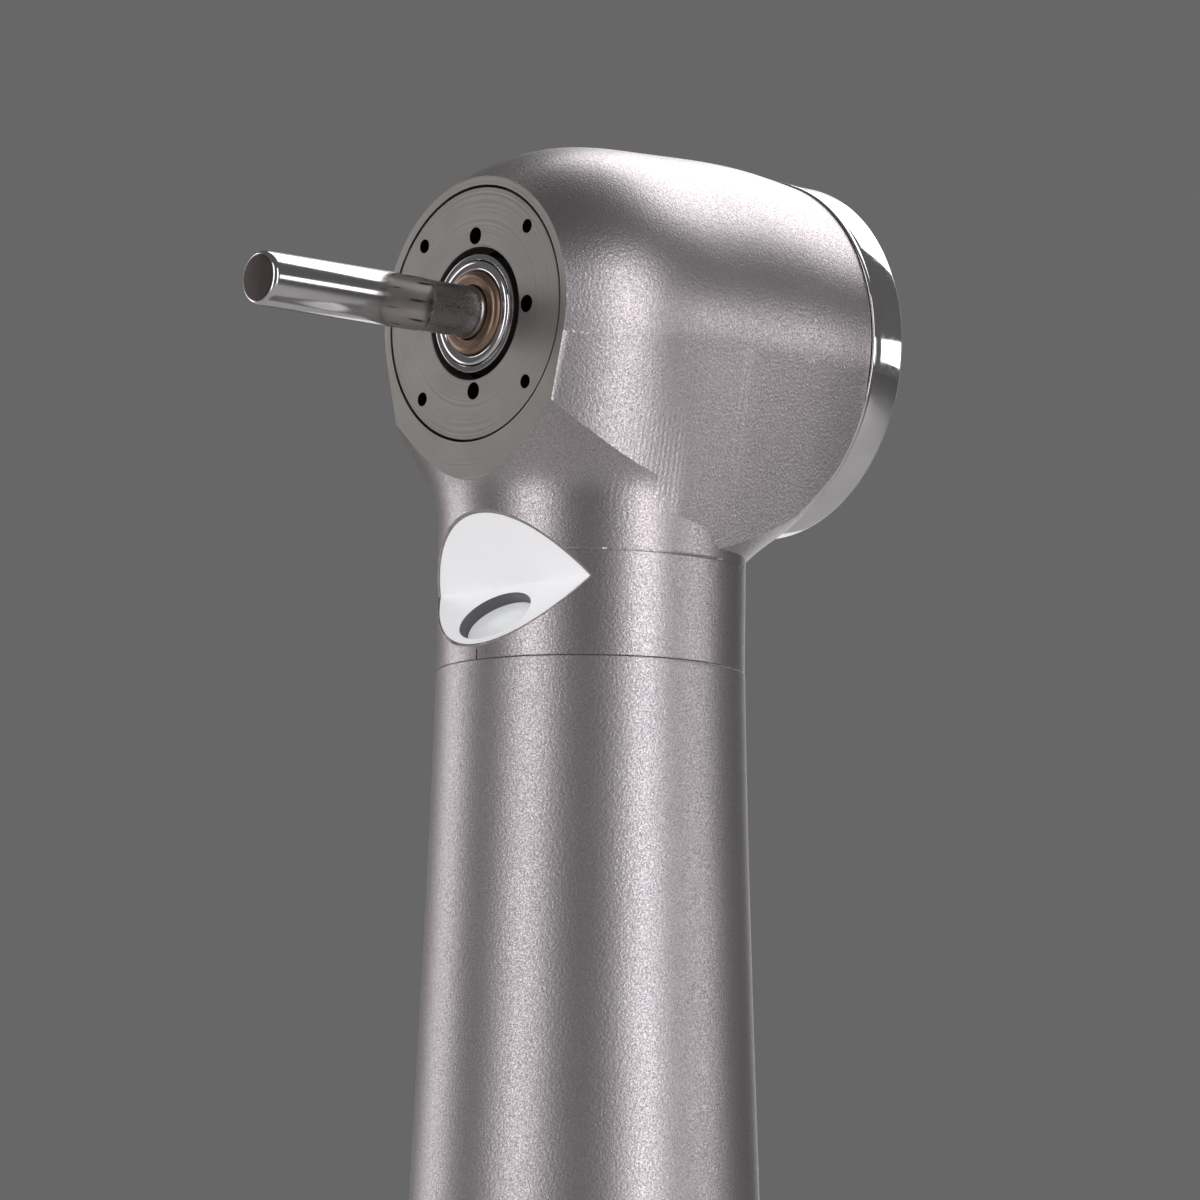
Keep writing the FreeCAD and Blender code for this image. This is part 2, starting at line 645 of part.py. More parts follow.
def dust_ring():
    """Ring on the spindle nose that fills the front opening."""
    return ring(DUST_RING_RADIUS, SHAFT_RADIUS, FACE_AT - 0.02, WEB_BACK)


def impeller():
    """Turbine wheel: a hub and curved blades."""
    low, high = IMPELLER
    hub = ring(VANE_HUB, SHAFT_RADIUS, low, high)
    radius, offset = VANE_SCOOP
    scoop = cylinder(radius, low + 4 * PLAY, high - 4 * PLAY, Y_AXIS, (VANE_TIP, offset))
    scoop = scoop.cut(cylinder(VANE_HUB + 2 * PLAY, low, high))
    wheel = joined([hub, ring(VANE_TIP, VANE_HUB, low + PLAY, high - PLAY)])
    for copy in spun_copies(scoop, VANES, Y_AXIS):
        wheel = wheel.cut(copy)
    return wheel


def chuck():
    """Spring collet round the tool, slit from the back."""
    nose_at = NOSE_AT - CHUCK_REACH
    bore = TOOL_RADIUS + SLIP
    outline = (
        (bore + 0.06, nose_at),
        (CHUCK_RADIUS - 0.16, nose_at),
        (CHUCK_RADIUS - PRESSED, nose_at + CHUCK_REACH + 0.1),
        (CHUCK_RADIUS - PRESSED, CHUCK_END),
        (CHUCK_RADIUS - 0.14, CHUCK_END),
        (bore, CHUCK_END - 0.3),
        (bore, nose_at + 0.06),
    )
    collet = turned(outline)
    length = CHUCK_END - NOSE_AT - CHUCK_WHOLE
    slit = Part.makeBox(2 * CHUCK_RADIUS, length + 1, CHUCK_SLIT)
    slit.translate(Vector(0, CHUCK_END - length, -CHUCK_SLIT / 2))
    for copy in spun_copies(slit, CHUCK_SLITS, Y_AXIS):
        collet = collet.cut(copy)
    return collet


def chuck_plug():
    """Guide for the opener pin at the spindle's end."""
    return ring(CHUCK_RADIUS - PRESSED, OPENER_STEM + 2 * SLIP, *PLUG_SPAN)


def opener_pin():
    """Pin that spreads the collet when the button pushes it."""
    low, high = OPENER_HEAD_SPAN
    end = PAD_END - OPENER_GAP
    outline = (
        (0, low),
        (OPENER_HEAD - 0.30, low),
        (OPENER_HEAD, low + 0.2),
        (OPENER_HEAD, high),
        (OPENER_STEM, high),
        (OPENER_STEM, end - 0.08),
        (OPENER_STEM - 0.08, end),
        (0, end),
    )
    return turned(outline)


def bur_blank():
    """Plain pin with a flat, round-edged end and a relieved neck."""
    edge = TOOL_EDGE
    relief_start, relief_end = TOOL_RELIEF
    relief_middle = (relief_start + relief_end) / 2
    end_radius, middle_radius = TOOL_WAIST
    end = TOOL_TIP + TOOL_LENGTH
    outline = (
        (0, TOOL_TIP),
        (TOOL_RADIUS - edge, TOOL_TIP),
        (TOOL_RADIUS - edge * 0.3, TOOL_TIP + edge * 0.3),
        (TOOL_RADIUS, TOOL_TIP + edge),
        (TOOL_RADIUS, TOOL_TIP + relief_start),
        (end_radius, TOOL_TIP + relief_start + 0.05),
        (middle_radius, TOOL_TIP + relief_middle),
        (end_radius, TOOL_TIP + relief_end),
        (TOOL_RADIUS, TOOL_TIP + relief_end + 0.05),
        (TOOL_RADIUS, end - 0.1),
        (TOOL_RADIUS - 0.1, end),
        (0, end),
    )
    return turned(outline)


# ---------------------------------------------------------------- button
def push_button():
    """Domed button with a flange that the stop ring holds in."""
    low, high = BUTTON_FLANGE
    rise = BUTTON_TOP_AT - BUTTON_EDGE_AT
    dome_radius = (BUTTON_RADIUS ** 2 + rise ** 2) / (2 * rise)
    dome = Part.makeSphere(dome_radius, Vector(0, BUTTON_TOP_AT - dome_radius, 0))
    head = cylinder(BUTTON_RADIUS, low, BUTTON_TOP_AT).common(dome)
    rim = [edge for edge in head.Edges if abs(edge.BoundBox.YMin - BUTTON_EDGE_AT) < PLAY and edge.Closed]
    head = head.makeFillet(BUTTON_EDGE_ROUND, rim)
    flange = cylinder(CAP_MOUTH - PLAY, low, high)
    hollow = cylinder(BUTTON_RADIUS - BUTTON_WALL, low - 1, button_ceiling())
    boss = cylinder(BOSS_RADIUS, PAD_END + PAD_THICK, button_ceiling() + 0.1)
    return joined([joined([head, flange]).cut(hollow), boss])


def button_ceiling():
    """Height of the hollow inside the button."""
    return BUTTON_EDGE_AT - BUTTON_WALL


def button_pad():
    """Hard pad that meets the opener pin."""
    return cylinder(BOSS_RADIUS - 0.3, PAD_END, PAD_END + PAD_THICK)


def stop_ring():
    """Ring in the cap's mouth that keeps the button in."""
    return ring(CAP_MOUTH - PRESSED, BUTTON_RADIUS + PLAY, *STOP_RING)


def button_spring():
    """Return spring, drawn at its pressed height on the cap's ledge."""
    coils = []
    floor = CAP_LEDGE[1] + SPRING_WIRE
    step = (button_ceiling() - BUTTON_TRAVEL - PLAY - floor - SPRING_WIRE) / (SPRING_TURNS - 1)
    for index in range(SPRING_TURNS):
        centre = Vector(0, floor + index * step, 0)
        coils.append(Part.makeTorus(SPRING_RADIUS, SPRING_WIRE, centre, Y_AXIS))
    height = (SPRING_TURNS - 1) * step
    for side in (-1, 1):
        foot = Vector(side * SPRING_RADIUS, floor, 0)
        coils.append(rod(foot, foot + Y_AXIS * height, SPRING_WIRE * 0.8))
    return joined(coils)


# ---------------------------------------------------------------- handle
def sleeve_radius(place):
    """Sleeve's outer radius at a distance down from the neck seam."""
    swell = math.sin(math.pi / 2 * place / SWELL_LENGTH) ** SWELL_POWER
    return NECK_RADIUS + SLEEVE_PROUD + SLEEVE_SWELL * swell


def straight_part(shrink, start, end, origin):
    """Turned part of the sleeve between two distances from the seam; origin is the seam's height."""
    steps = 8
    places = [start + (end - start) * index / steps for index in range(steps + 1)]
    return turned_curve([(sleeve_radius(place) - shrink, origin - place) for place in places], Z_AXIS)


def bent_part(shrink, start):
    """Part of the sleeve through the bend, lofted between circles."""
    steps = 6
    circles = []
    for index in range(steps + 1):
        turn = BEND * index / steps
        radius = sleeve_radius(start + BEND_RADIUS * turn) - shrink
        centre = BEND_CENTRE - Vector(0, math.cos(turn), math.sin(turn)) * BEND_RADIUS
        way = Vector(0, -math.sin(turn), math.cos(turn))
        circles.append(Part.Wire(Part.makeCircle(radius, centre, way)))
    return Part.makeLoft(circles, True, False)


def sleeve_solid(shrink):
    """Solid along the handle, smaller all round by shrink."""
    seam_height = HEAD.z + NECK_SEAM
    neck_run = seam_height - BEND_TOP.z
    bend_end = neck_run + BEND_RADIUS * BEND
    neck_part = straight_part(shrink, 0.0, neck_run, seam_height)
    neck_part.translate(Vector(0, HEAD.y, 0))
    tail_part = in_tail(straight_part(shrink, bend_end, path_length(), path_length() + SLEEVE_END))
    return joined([neck_part, bent_part(shrink, neck_run), tail_part])


def handle_sleeve():
    """Bent shell from the neck seam to the tail collar, with fine grip grooves."""
    shell = sleeve_solid(0.0).cut(sleeve_solid(SLEEVE_WALL))
    for index in range(GRIP_GROOVES):
        place = GRIP_FIRST - index * GRIP_STEP
        radius = sleeve_radius(path_length() + SLEEVE_END - place)
        groove = Part.makeTorus(radius - GRIP_DEPTH + GRIP_ROUND, GRIP_ROUND, Vector(0, 0, place), Z_AXIS)
        shell = shell.cut(in_tail(groove))
    return shell


def path_length():
    """Length of the sleeve's centre line."""
    length_up = NECK_RISE + NECK_SEAM - BEND_TANGENT
    return length_up + BEND_RADIUS * BEND + TAIL_LENGTH - BEND_TANGENT - SLEEVE_END


# ---------------------------------------------------------------- tail
def tail_bore():
    """Sleeve's inner radius at the tail."""
    return sleeve_radius(path_length()) - SLEEVE_WALL


def tail_body():
    """Connector plug: threaded end, shoulder in the sleeve and four passages."""
    outer = tail_bore() - 2 * PLAY
    lead = TAIL_EDGE + PLAY
    outline = (
        (0, 0),
        (THREAD_TAIL_RADIUS - lead, 0),
        (THREAD_TAIL_RADIUS, lead),
        (THREAD_TAIL_RADIUS, TAIL_RING[0]),
        (THREAD_TAIL_RADIUS + RING_LAND, TAIL_RING[0]),
        (THREAD_TAIL_RADIUS + RING_LAND, TAIL_RING[1]),
        (outer, TAIL_RING[1]),
        (outer, PLUG_TOP),
        (0, PLUG_TOP),
    )
    plug = turned(outline, Z_AXIS)
    depth, half = TAIL_SEAL
    middle = (TAIL_RING[1] + PLUG_TOP) / 2
    plug = plug.cut(ring(tail_bore() + 1, tail_bore() - depth, middle - half, middle + half, Z_AXIS))
    for across, back, radius in (DRIVE_PORT, EXHAUST_PORT, WATER_PORT, CHIP_PORT):
        plug = plug.cut(cylinder(radius, -1, PORT_DEPTH, Z_AXIS, (across, back)))
        plug = plug.cut(cylinder(radius - PORT_STEP, -1, PLUG_TOP + 1, Z_AXIS, (across, back)))
    return in_tail(plug)


def tail_ring():
    """Collar between the thread and the sleeve."""
    outline = (
        (THREAD_TAIL_RADIUS + RING_LAND, TAIL_RING[0]),
        (TAIL_RING_RADIUS - TAIL_EDGE, TAIL_RING[0]),
        (TAIL_RING_RADIUS, TAIL_RING[0] + TAIL_EDGE),
        (TAIL_RING_RADIUS, TAIL_RING[1]),
        (THREAD_TAIL_RADIUS + RING_LAND, TAIL_RING[1]),
    )
    return in_tail(turned(outline, Z_AXIS))


def tail_oring():
    """Seal between the connector plug and the sleeve."""
    wire = (TAIL_SEAL[0] - PLAY) / 2
    middle = Vector(0, 0, (TAIL_RING[1] + PLUG_TOP) / 2)
    return in_tail(Part.makeTorus(tail_bore() - TAIL_SEAL[0] + wire, wire, middle, Z_AXIS))


def feed_elbow(port, tube):
    """Short tube that leads water or chip air from its port inwards to its tube."""
    across, back, radius = port
    start = tail_point(across, back, PLUG_TOP)
    end = tail_point(tube[0], tube[1], TUBE_FOOT)
    knee = end - TAIL_WAY * tube[2]
    foot = cylinder(radius - PORT_STEP, PLUG_TOP - ELBOW_FOOT, PLUG_TOP, Z_AXIS, (across, back))
    bore = cylinder(tube[3], PLUG_TOP - ELBOW_FOOT - 1, PLUG_TOP, Z_AXIS, (across, back))
    solids = [in_tail(foot), rod(start, knee, tube[2]), rod(knee, end, tube[2])]
    solids += [Part.makeSphere(tube[2], start), Part.makeSphere(tube[2], knee)]
    elbow = joined(solids)
    for cut in (in_tail(bore), rod(start, knee, tube[3]), rod(knee, end, tube[3])):
        elbow = elbow.cut(cut)
    return elbow


def nonreturn_valve():
    """Rubber duckbill in the water port, above the part that the hose's tube fills."""
    across, back, radius = WATER_PORT
    rim = radius - PORT_STEP
    low = PORT_DEPTH + TAIL_EDGE
    lip = low + VALVE_LIP
    high = PLUG_TOP - ELBOW_FOOT - 2 * PLAY
    outline = (
        (0.25, low),
        (rim, low),
        (rim, lip),
        (rim - 0.25, lip + 0.3),
        (0.18, high),
        (PLAY, high),
        (PLAY, lip),
    )
    return in_tail(turned(outline, Z_AXIS, (across, back)))


# ---------------------------------------------------------------- generator
def generator():
    """Air driven generator for the lamp: can, coil, two bushes and the rotor."""
    low, high = GENERATOR_SPAN
    inner = GENERATOR_RADIUS - GENERATOR_WALL
    floor_top = low + GENERATOR_FLOOR
    roof_foot = high - GENERATOR_FLOOR
    can = joined([
        ring(GENERATOR_RADIUS, inner, low, high, Z_AXIS),
        ring(GENERATOR_RADIUS, BUSH_RADIUS, low, floor_top, Z_AXIS),
        ring(GENERATOR_RADIUS, BUSH_RADIUS, roof_foot, high, Z_AXIS),
    ])
    pitch, hole_radius, holes = VENT
    vent = cylinder(hole_radius, low - 1, high + 1, Z_AXIS, (pitch, 0.0))
    for hole in spun_copies(vent, holes, Z_AXIS):
        can = can.cut(hole)
    shaft = cylinder(GENERATOR_SHAFT, low + 2 * PLAY, high - 2 * PLAY, Z_AXIS)
    magnet = cylinder(MAGNET_RADIUS, low + MAGNET_SPAN[0], low + MAGNET_SPAN[1], Z_AXIS)
    hub = cylinder(FAN_HUB[0], low + FAN_HUB[1], low + FAN_HUB[2], Z_AXIS)
    thick, start, end, blades = FAN_BLADE
    blade = Part.makeBox(FAN_RADIUS, thick, end - start, Vector(0, -thick / 2, low + start))
    pieces = {
        "generator_can": can,
        "generator_bush_low": ring(BUSH_RADIUS, GENERATOR_SHAFT + SLIP, low, floor_top, Z_AXIS),
        "generator_bush_high": ring(BUSH_RADIUS, GENERATOR_SHAFT + SLIP, roof_foot, high, Z_AXIS),
        "generator_coil": ring(inner, COIL_BORE, low + COIL_SPAN[0], low + COIL_SPAN[1], Z_AXIS),
        "generator_rotor": joined([shaft, magnet, hub, *spun_copies(blade, blades, Z_AXIS)]),
    }
    for shape in pieces.values():
        shape.translate(Vector(GENERATOR_AT[0], GENERATOR_AT[1], 0))
        in_tail(shape)
    return pieces


def generator_outlet():
    """Cover that gathers the air above the generator into the drive tube."""
    foot = Vector(GENERATOR_AT[0], GENERATOR_AT[1], GENERATOR_SPAN[1])
    top = Vector(DRIVE_TUBE[0], DRIVE_TUBE[1], TUBE_FOOT)
    lofts = []
    for foot_radius, top_radius in (
        (GENERATOR_RADIUS, DRIVE_TUBE[2] + GENERATOR_WALL),
        (GENERATOR_RADIUS - GENERATOR_WALL, DRIVE_TUBE[3]),
    ):
        circles = [Part.makeCircle(foot_radius, foot, Z_AXIS), Part.makeCircle(top_radius, top, Z_AXIS)]
        lofts.append(Part.makeLoft([Part.Wire(circle) for circle in circles], True, True))
    return in_tail(lofts[0].cut(lofts[1]))


def generator_nozzle():
    """Tube that brings drive air from its port to the generator."""
    across, back, radius = DRIVE_PORT
    outer = radius - PORT_STEP
    foot = PLUG_TOP - NOZZLE_FOOT
    return in_tail(ring(outer, outer - NOZZLE_WALL, foot, GENERATOR_SPAN[0], Z_AXIS, (across, back)))


def led_leads():
    """Two insulated wires from the generator to the lamp board."""
    wires = [bent_bar(offset, TUBE_FOOT, MANIFOLD_TOP + NECK_SEAL_HALF) for offset in LEADS]
    return Part.makeCompound(wires)


# ---------------------------------------------------------------- all pieces
def build():
    """Every piece by its node's name, in its place."""
    groove_front = FRONT_BEARING_AT + BEARING_WIDTH / 2
    groove_rear = REAR_BEARING_AT + BEARING_WIDTH / 2
    front = bearing(FRONT_BEARING_AT)
    rear = bearing(REAR_BEARING_AT)
    head_pieces = {
        "head_housing": head_housing(),
        "spray_disc": spray_disc(),
        "back_cap": back_cap(),
        "stop_ring": stop_ring(),
        "push_button": push_button(),
        "button_pad": button_pad(),
        "button_spring": button_spring(),
        "preload_washer": preload_washer(),
        "front_oring": oring(groove_front),
        "rear_oring": oring(groove_rear),
        "front_bearing_outer": front[0],
        "front_bearing_inner": front[1],
        "front_bearing_cage": front[2],
        "front_bearing_balls": front[3],
        "rear_bearing_outer": rear[0],
        "rear_bearing_inner": rear[1],
        "rear_bearing_cage": rear[2],
        "rear_bearing_balls": rear[3],
        "spindle": spindle(),
        "dust_ring": dust_ring(),
        "impeller": impeller(),
        "chuck": chuck(),
        "chuck_plug": chuck_plug(),
        "opener_pin": opener_pin(),
        "bur_blank": bur_blank(),
        "light_carrier": light_carrier(),
        "led_lens": led_lens(),
        "led_board": led_board(),
        "neck_manifold": neck_manifold(),
        "neck_oring": neck_oring(),
    }
    pieces = {name: in_head(shape) for name, shape in head_pieces.items()}
    pieces["handle_sleeve"] = handle_sleeve()
    pieces["drive_air_tube"] = bent_tube(DRIVE_TUBE, TUBE_FOOT, TUBE_TOP)
    pieces["water_tube"] = bent_tube(WATER_TUBE, TUBE_FOOT, TUBE_TOP)
    pieces["chip_air_tube"] = bent_tube(CHIP_TUBE, TUBE_FOOT, TUBE_TOP)
    pieces["led_leads"] = led_leads()
    pieces["tail_body"] = tail_body()
    pieces["tail_ring"] = tail_ring()
    pieces["tail_oring"] = tail_oring()
    pieces["nonreturn_valve"] = nonreturn_valve()
    pieces["generator_outlet"] = generator_outlet()
    pieces["generator_nozzle"] = generator_nozzle()
    pieces["water_elbow"] = feed_elbow(WATER_PORT, WATER_TUBE)
    pieces["chip_air_elbow"] = feed_elbow(CHIP_PORT, CHIP_TUBE)
    pieces.update(generator())
    return pieces


def main():
    """Writes one STEP file for each piece."""
    os.makedirs("parts", exist_ok=True)
    for name, shape in build().items():
        shape.exportStep(os.path.join("parts", name + ".step"))
        print(name, len(shape.Solids), round(shape.Volume, 3), shape.isValid())


main()
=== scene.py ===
"""Visual model of a dental high speed handpiece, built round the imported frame, with its studio and camera.

Pieces are shaped in millimetres about the turbine's centre or the tail's end face, then seated in the frame.
"""
import json
import logging
import math
from collections.abc import Callable, Iterable, Sequence
from dataclasses import dataclass, field
from enum import Enum
from functools import cached_property
from typing import Any

import bpy
import numpy as np
from mathutils import Matrix, Vector


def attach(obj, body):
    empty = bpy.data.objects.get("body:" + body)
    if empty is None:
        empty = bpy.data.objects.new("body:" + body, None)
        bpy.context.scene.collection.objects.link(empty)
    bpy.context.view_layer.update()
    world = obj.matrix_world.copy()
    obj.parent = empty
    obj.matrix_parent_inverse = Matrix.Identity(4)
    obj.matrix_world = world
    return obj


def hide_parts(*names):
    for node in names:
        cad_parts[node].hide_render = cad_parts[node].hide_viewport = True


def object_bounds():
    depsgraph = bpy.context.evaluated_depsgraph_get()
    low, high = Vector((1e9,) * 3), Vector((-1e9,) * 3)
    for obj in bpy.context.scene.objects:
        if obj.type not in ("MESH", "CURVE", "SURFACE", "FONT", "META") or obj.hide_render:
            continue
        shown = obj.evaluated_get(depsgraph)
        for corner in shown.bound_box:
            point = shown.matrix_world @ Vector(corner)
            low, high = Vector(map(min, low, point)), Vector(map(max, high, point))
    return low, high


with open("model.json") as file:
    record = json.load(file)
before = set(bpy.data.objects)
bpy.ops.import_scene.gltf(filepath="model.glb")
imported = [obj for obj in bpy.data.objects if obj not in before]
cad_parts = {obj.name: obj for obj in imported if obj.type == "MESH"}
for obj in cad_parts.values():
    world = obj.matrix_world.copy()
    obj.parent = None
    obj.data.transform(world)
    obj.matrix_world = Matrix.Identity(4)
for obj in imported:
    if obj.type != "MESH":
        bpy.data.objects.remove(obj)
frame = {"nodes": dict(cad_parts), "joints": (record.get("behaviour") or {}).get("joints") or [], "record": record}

CAD_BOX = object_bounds()
MM = 0.001
FULL_TURN = 2 * math.pi
TINY = 1e-3              # area in square millimetres below which a face has no sure normal
LIKELY_TURN = 0.17       # radians by which a face usually differs from its surface, and at most
FURTHEST_TURN = 0.30
FAR = 30.0               # millimetres that reach past the whole head
MERGE = 1e-4             # millimetres within which doubled corners are one
LOG = logging.getLogger("handpiece")

Point = tuple[float, float]
Surface = Callable[[Vector], tuple[float, Vector]]
Mesh = bpy.types.Object


class Axis(Enum):
    """Line that a turned piece is spun about."""

    TOOL = (0.0, 1.0, 0.0)
    NECK = (0.0, 0.0, 1.0)


class Join(Enum):
    """How one solid is combined with another."""

    ADD = "UNION"
    CUT = "DIFFERENCE"
    KEEP = "INTERSECT"


# ------------------------------------------------------------------ places read from the frame
def joint_place(name: str) -> Vector:
    """Gives the point that a joint turns about.

    Args:
        name: Joint's name in the record.

    Returns:
        The point in metres.
    """
    return next(Vector(joint["pos_m"]) for joint in frame["joints"] if joint["name"] == name)


def mount(name: str) -> dict[str, Any]:
    """Gives one mount of the record.

    Args:
        name: Mount's name.

    Returns:
        The record's entry.
    """
    return next(entry for entry in frame["record"]["mounts"] if entry["name"] == name)


HEAD = joint_place("rotor_spin")
TAIL_DOWN = Vector(mount("tail_face")["axis"])
LEAN = math.atan2(TAIL_DOWN.y, -TAIL_DOWN.z)
HEAD_SEAT = Matrix.Translation(HEAD) @ Matrix.Scale(MM, 4)
TAIL_SEAT = Matrix.Rotation(LEAN, 4, "X") @ Matrix.Scale(MM, 4)
WORLD_SEAT = Matrix.Scale(MM, 4)


# ------------------------------------------------------------------ workshop: shaping meshes by operator
def deselect() -> None:
    """Leaves edit mode and deselects everything."""
    if bpy.context.object and bpy.context.object.mode != "OBJECT":
        bpy.ops.object.mode_set(mode="OBJECT")
    bpy.ops.object.select_all(action="DESELECT")


def take(piece: Mesh) -> Mesh:
    """Makes a piece the only selected and the active one.

    Args:
        piece: Piece to work on.

    Returns:
        The same piece.
    """
    deselect()
    piece.select_set(True)
    bpy.context.view_layer.objects.active = piece
    return piece


def named(name: str) -> Mesh:
    """Names the newly added primitive.

    Args:
        name: Name of the piece.

    Returns:
        The piece.
    """
    piece = bpy.context.object
    piece.name = name
    piece.data.name = name
    return piece


def tidy_mesh(piece: Mesh) -> Mesh:
    """Merges doubled corners and turns the faces outwards.

    Args:
        piece: Closed shell.

    Returns:
        The same piece.
    """
    take(piece)
    bpy.ops.object.mode_set(mode="EDIT")
    bpy.ops.mesh.select_all(action="SELECT")
    bpy.ops.mesh.remove_doubles(threshold=MERGE)
    bpy.ops.mesh.normals_make_consistent(inside=False)
    bpy.ops.object.mode_set(mode="OBJECT")
    return piece


def turned(name: str, outline: Sequence[Point], axis: Axis, steps: int = 160, closed: bool = False) -> Mesh:
    """Turns a piece on the lathe: one corner is drawn out along the outline, which is then spun.

    Args:
        name: Name of the piece.
        outline: Corners as radius and place along the axis, in millimetres.
        axis: Line to spin about.
        steps: Number of facets round.
        closed: Whether the outline returns to its first corner, as a ring's does.

    Returns:
        The turned solid.
    """
    def corner(radius: float, place: float) -> Vector:
        """Puts an outline corner in the plane of spinning."""
        return Vector((radius, place, 0)) if axis is Axis.TOOL else Vector((radius, 0, place))

    deselect()
    path = [corner(*point) for point in outline]
    if closed:
        path.append(path[0])
    bpy.ops.mesh.primitive_plane_add(size=1)
    piece = named(name)
    bpy.ops.object.mode_set(mode="EDIT")
    bpy.ops.mesh.select_all(action="SELECT")
    bpy.ops.mesh.merge(type="CENTER")
    bpy.ops.transform.translate(value=path[0])
    for start, end in zip(path, path[1:]):
        bpy.ops.mesh.extrude_region_move(TRANSFORM_OT_translate={"value": end - start})
    bpy.ops.mesh.select_all(action="SELECT")
    bpy.ops.mesh.spin(steps=steps, angle=FULL_TURN, center=(0, 0, 0), axis=axis.value, use_auto_merge=True)
    bpy.ops.object.mode_set(mode="OBJECT")
    return tidy_mesh(piece)


def rounded(outline: Sequence[Point], radius: float, arc: int = 3, ends: bool = False) -> list[Point]:
    """Rounds the corners of an outline.

    Args:
        outline: Corners as radius and place.
        radius: Size of the rounding.
        arc: Number of steps in each rounding.
        ends: Whether the outline is closed, so that its first and last corners are rounded too.

    Returns:
        The outline with its corners rounded.
    """
    points = [Vector(point) for point in outline]
    count = len(points)
    result: list[Point] = []
    for index, point in enumerate(points):
        if not ends and index in (0, count - 1):
            result.append(tuple(point))
            continue
        before = points[index - 1] - point
        after = points[(index + 1) % count] - point
        reach = min(radius, before.length * 0.45, after.length * 0.45)
        first = point + before.normalized() * reach
        last = point + after.normalized() * reach
        for step in range(arc + 1):
            part = step / arc
            result.append(tuple(first * (1 - part) ** 2 + point * 2 * part * (1 - part) + last * part ** 2))
    return result


def curve_through(points: Sequence[Point], count: int) -> list[Point]:
    """Draws a smooth curve through points, as a bent spline does.

    Args:
        points: Places the curve passes, in order.
        count: Number of samples.

    Returns:
        Samples along the curve.
    """
    knots = np.array(points, float)
    gaps = np.linalg.norm(np.diff(knots, axis=0), axis=1)
    along = np.concatenate([[0.0], np.cumsum(gaps)])
    size = len(knots)
    system = np.eye(size)
    pull = np.zeros((size, 2))
    for i in range(1, size - 1):
        system[i, i - 1:i + 2] = gaps[i - 1], 2 * (gaps[i - 1] + gaps[i]), gaps[i]
        pull[i] = 6 * ((knots[i + 1] - knots[i]) / gaps[i] - (knots[i] - knots[i - 1]) / gaps[i - 1])
    bend = np.linalg.solve(system, pull)
    samples = []
    for place in np.linspace(0.0, along[-1], count):
        i = min(int(np.searchsorted(along, place, side="right")) - 1, size - 2)
        left, right, gap = place - along[i], along[i + 1] - place, gaps[i]
        value = (bend[i] * right ** 3 + bend[i + 1] * left ** 3) / (6 * gap)
        value = value + (knots[i] / gap - bend[i] * gap / 6) * right
        value = value + (knots[i + 1] / gap - bend[i + 1] * gap / 6) * left
        samples.append((float(value[0]), float(value[1])))
    return samples


def cylinder(name: str, radius: float, start: Vector, end: Vector, steps: int = 64,
             tip: float | None = None) -> Mesh:
    """Adds a round bar, or a cone, between two points.

    Args:
        name: Name of the piece.
        radius: Radius at the start.
        start: One end.
        end: Other end.
        steps: Number of facets round.
        tip: Radius at the far end, if it differs.

    Returns:
        The bar.
    """
    deselect()
    way = end - start
    bpy.ops.mesh.primitive_cone_add(vertices=steps, radius1=radius, radius2=radius if tip is None else tip,
                                    depth=way.length, location=(start + end) / 2,
                                    rotation=way.to_track_quat("Z", "Y").to_euler())
    piece = named(name)
    bpy.ops.object.transform_apply(location=True, rotation=True, scale=True)
    return piece


def block(name: str, low: Sequence[float], high: Sequence[float]) -> Mesh:
    """Adds a box between two corners.

    Args:
        name: Name of the piece.
        low: Lowest corner.
        high: Highest corner.

    Returns:
        The box.
    """
    deselect()
    low, high = Vector(low), Vector(high)
    bpy.ops.mesh.primitive_cube_add(size=1, location=(low + high) / 2)
    piece = named(name)
    piece.scale = high - low
    bpy.ops.object.transform_apply(location=True, rotation=True, scale=True)
    return piece


def oval(name: str, half: Point, low: float, high: float, steps: int = 72) -> Mesh:
    """Adds an oval plate with upright sides.

    Args:
        name: Name of the piece.
        half: Half width and half height.
        low: Height of its underside.
        high: Height of its top.
        steps: Number of facets round.

    Returns:
        The plate.
    """
    deselect()
    bpy.ops.mesh.primitive_circle_add(vertices=steps, radius=1, fill_type="NGON", location=(0, 0, low))
    piece = named(name)
    piece.scale = (half[0], half[1], 1)
    bpy.ops.object.transform_apply(location=True, rotation=True, scale=True)
    bpy.ops.object.mode_set(mode="EDIT")
    bpy.ops.mesh.select_all(action="SELECT")
    bpy.ops.mesh.extrude_region_move(TRANSFORM_OT_translate={"value": (0, 0, high - low)})
    bpy.ops.object.mode_set(mode="OBJECT")
    return tidy_mesh(piece)


def moved(piece: Mesh, matrix: Matrix) -> Mesh:
    """Moves a piece and puts the move into its mesh.

    Args:
        piece: Piece to move.
        matrix: Move, turn or scale.

    Returns:
        The same piece.
    """
    take(piece)
    piece.matrix_world = matrix
    bpy.ops.object.transform_apply(location=True, rotation=True, scale=True)
    return piece


def combined(piece: Mesh, other: Mesh, how: Join) -> Mesh:
    """Joins, cuts or trims a piece with another, which is used up.

    Args:
        piece: Piece that is kept.
        other: Piece that is added, cut out or kept within.
        how: Way of combining.

    Returns:
        The kept piece.
    """
    take(piece)
    bpy.ops.object.modifier_add(type="BOOLEAN")
    modifier = piece.modifiers[-1]
    modifier.operation = how.value
    modifier.solver = "EXACT"
    modifier.object = other
    bpy.ops.object.modifier_apply(modifier=modifier.name)
    bpy.data.meshes.remove(other.data)
    return piece


def reshaped(piece: Mesh, shape: Callable[[Vector], Vector]) -> Mesh:
    """Moves every corner of a piece by a rule.

    Args:
        piece: Piece to reshape.
        shape: Rule from old place to new.

    Returns:
        The same piece.
    """
    for corner in piece.data.vertices:
        corner.co = shape(corner.co)
    piece.data.update()
    return piece


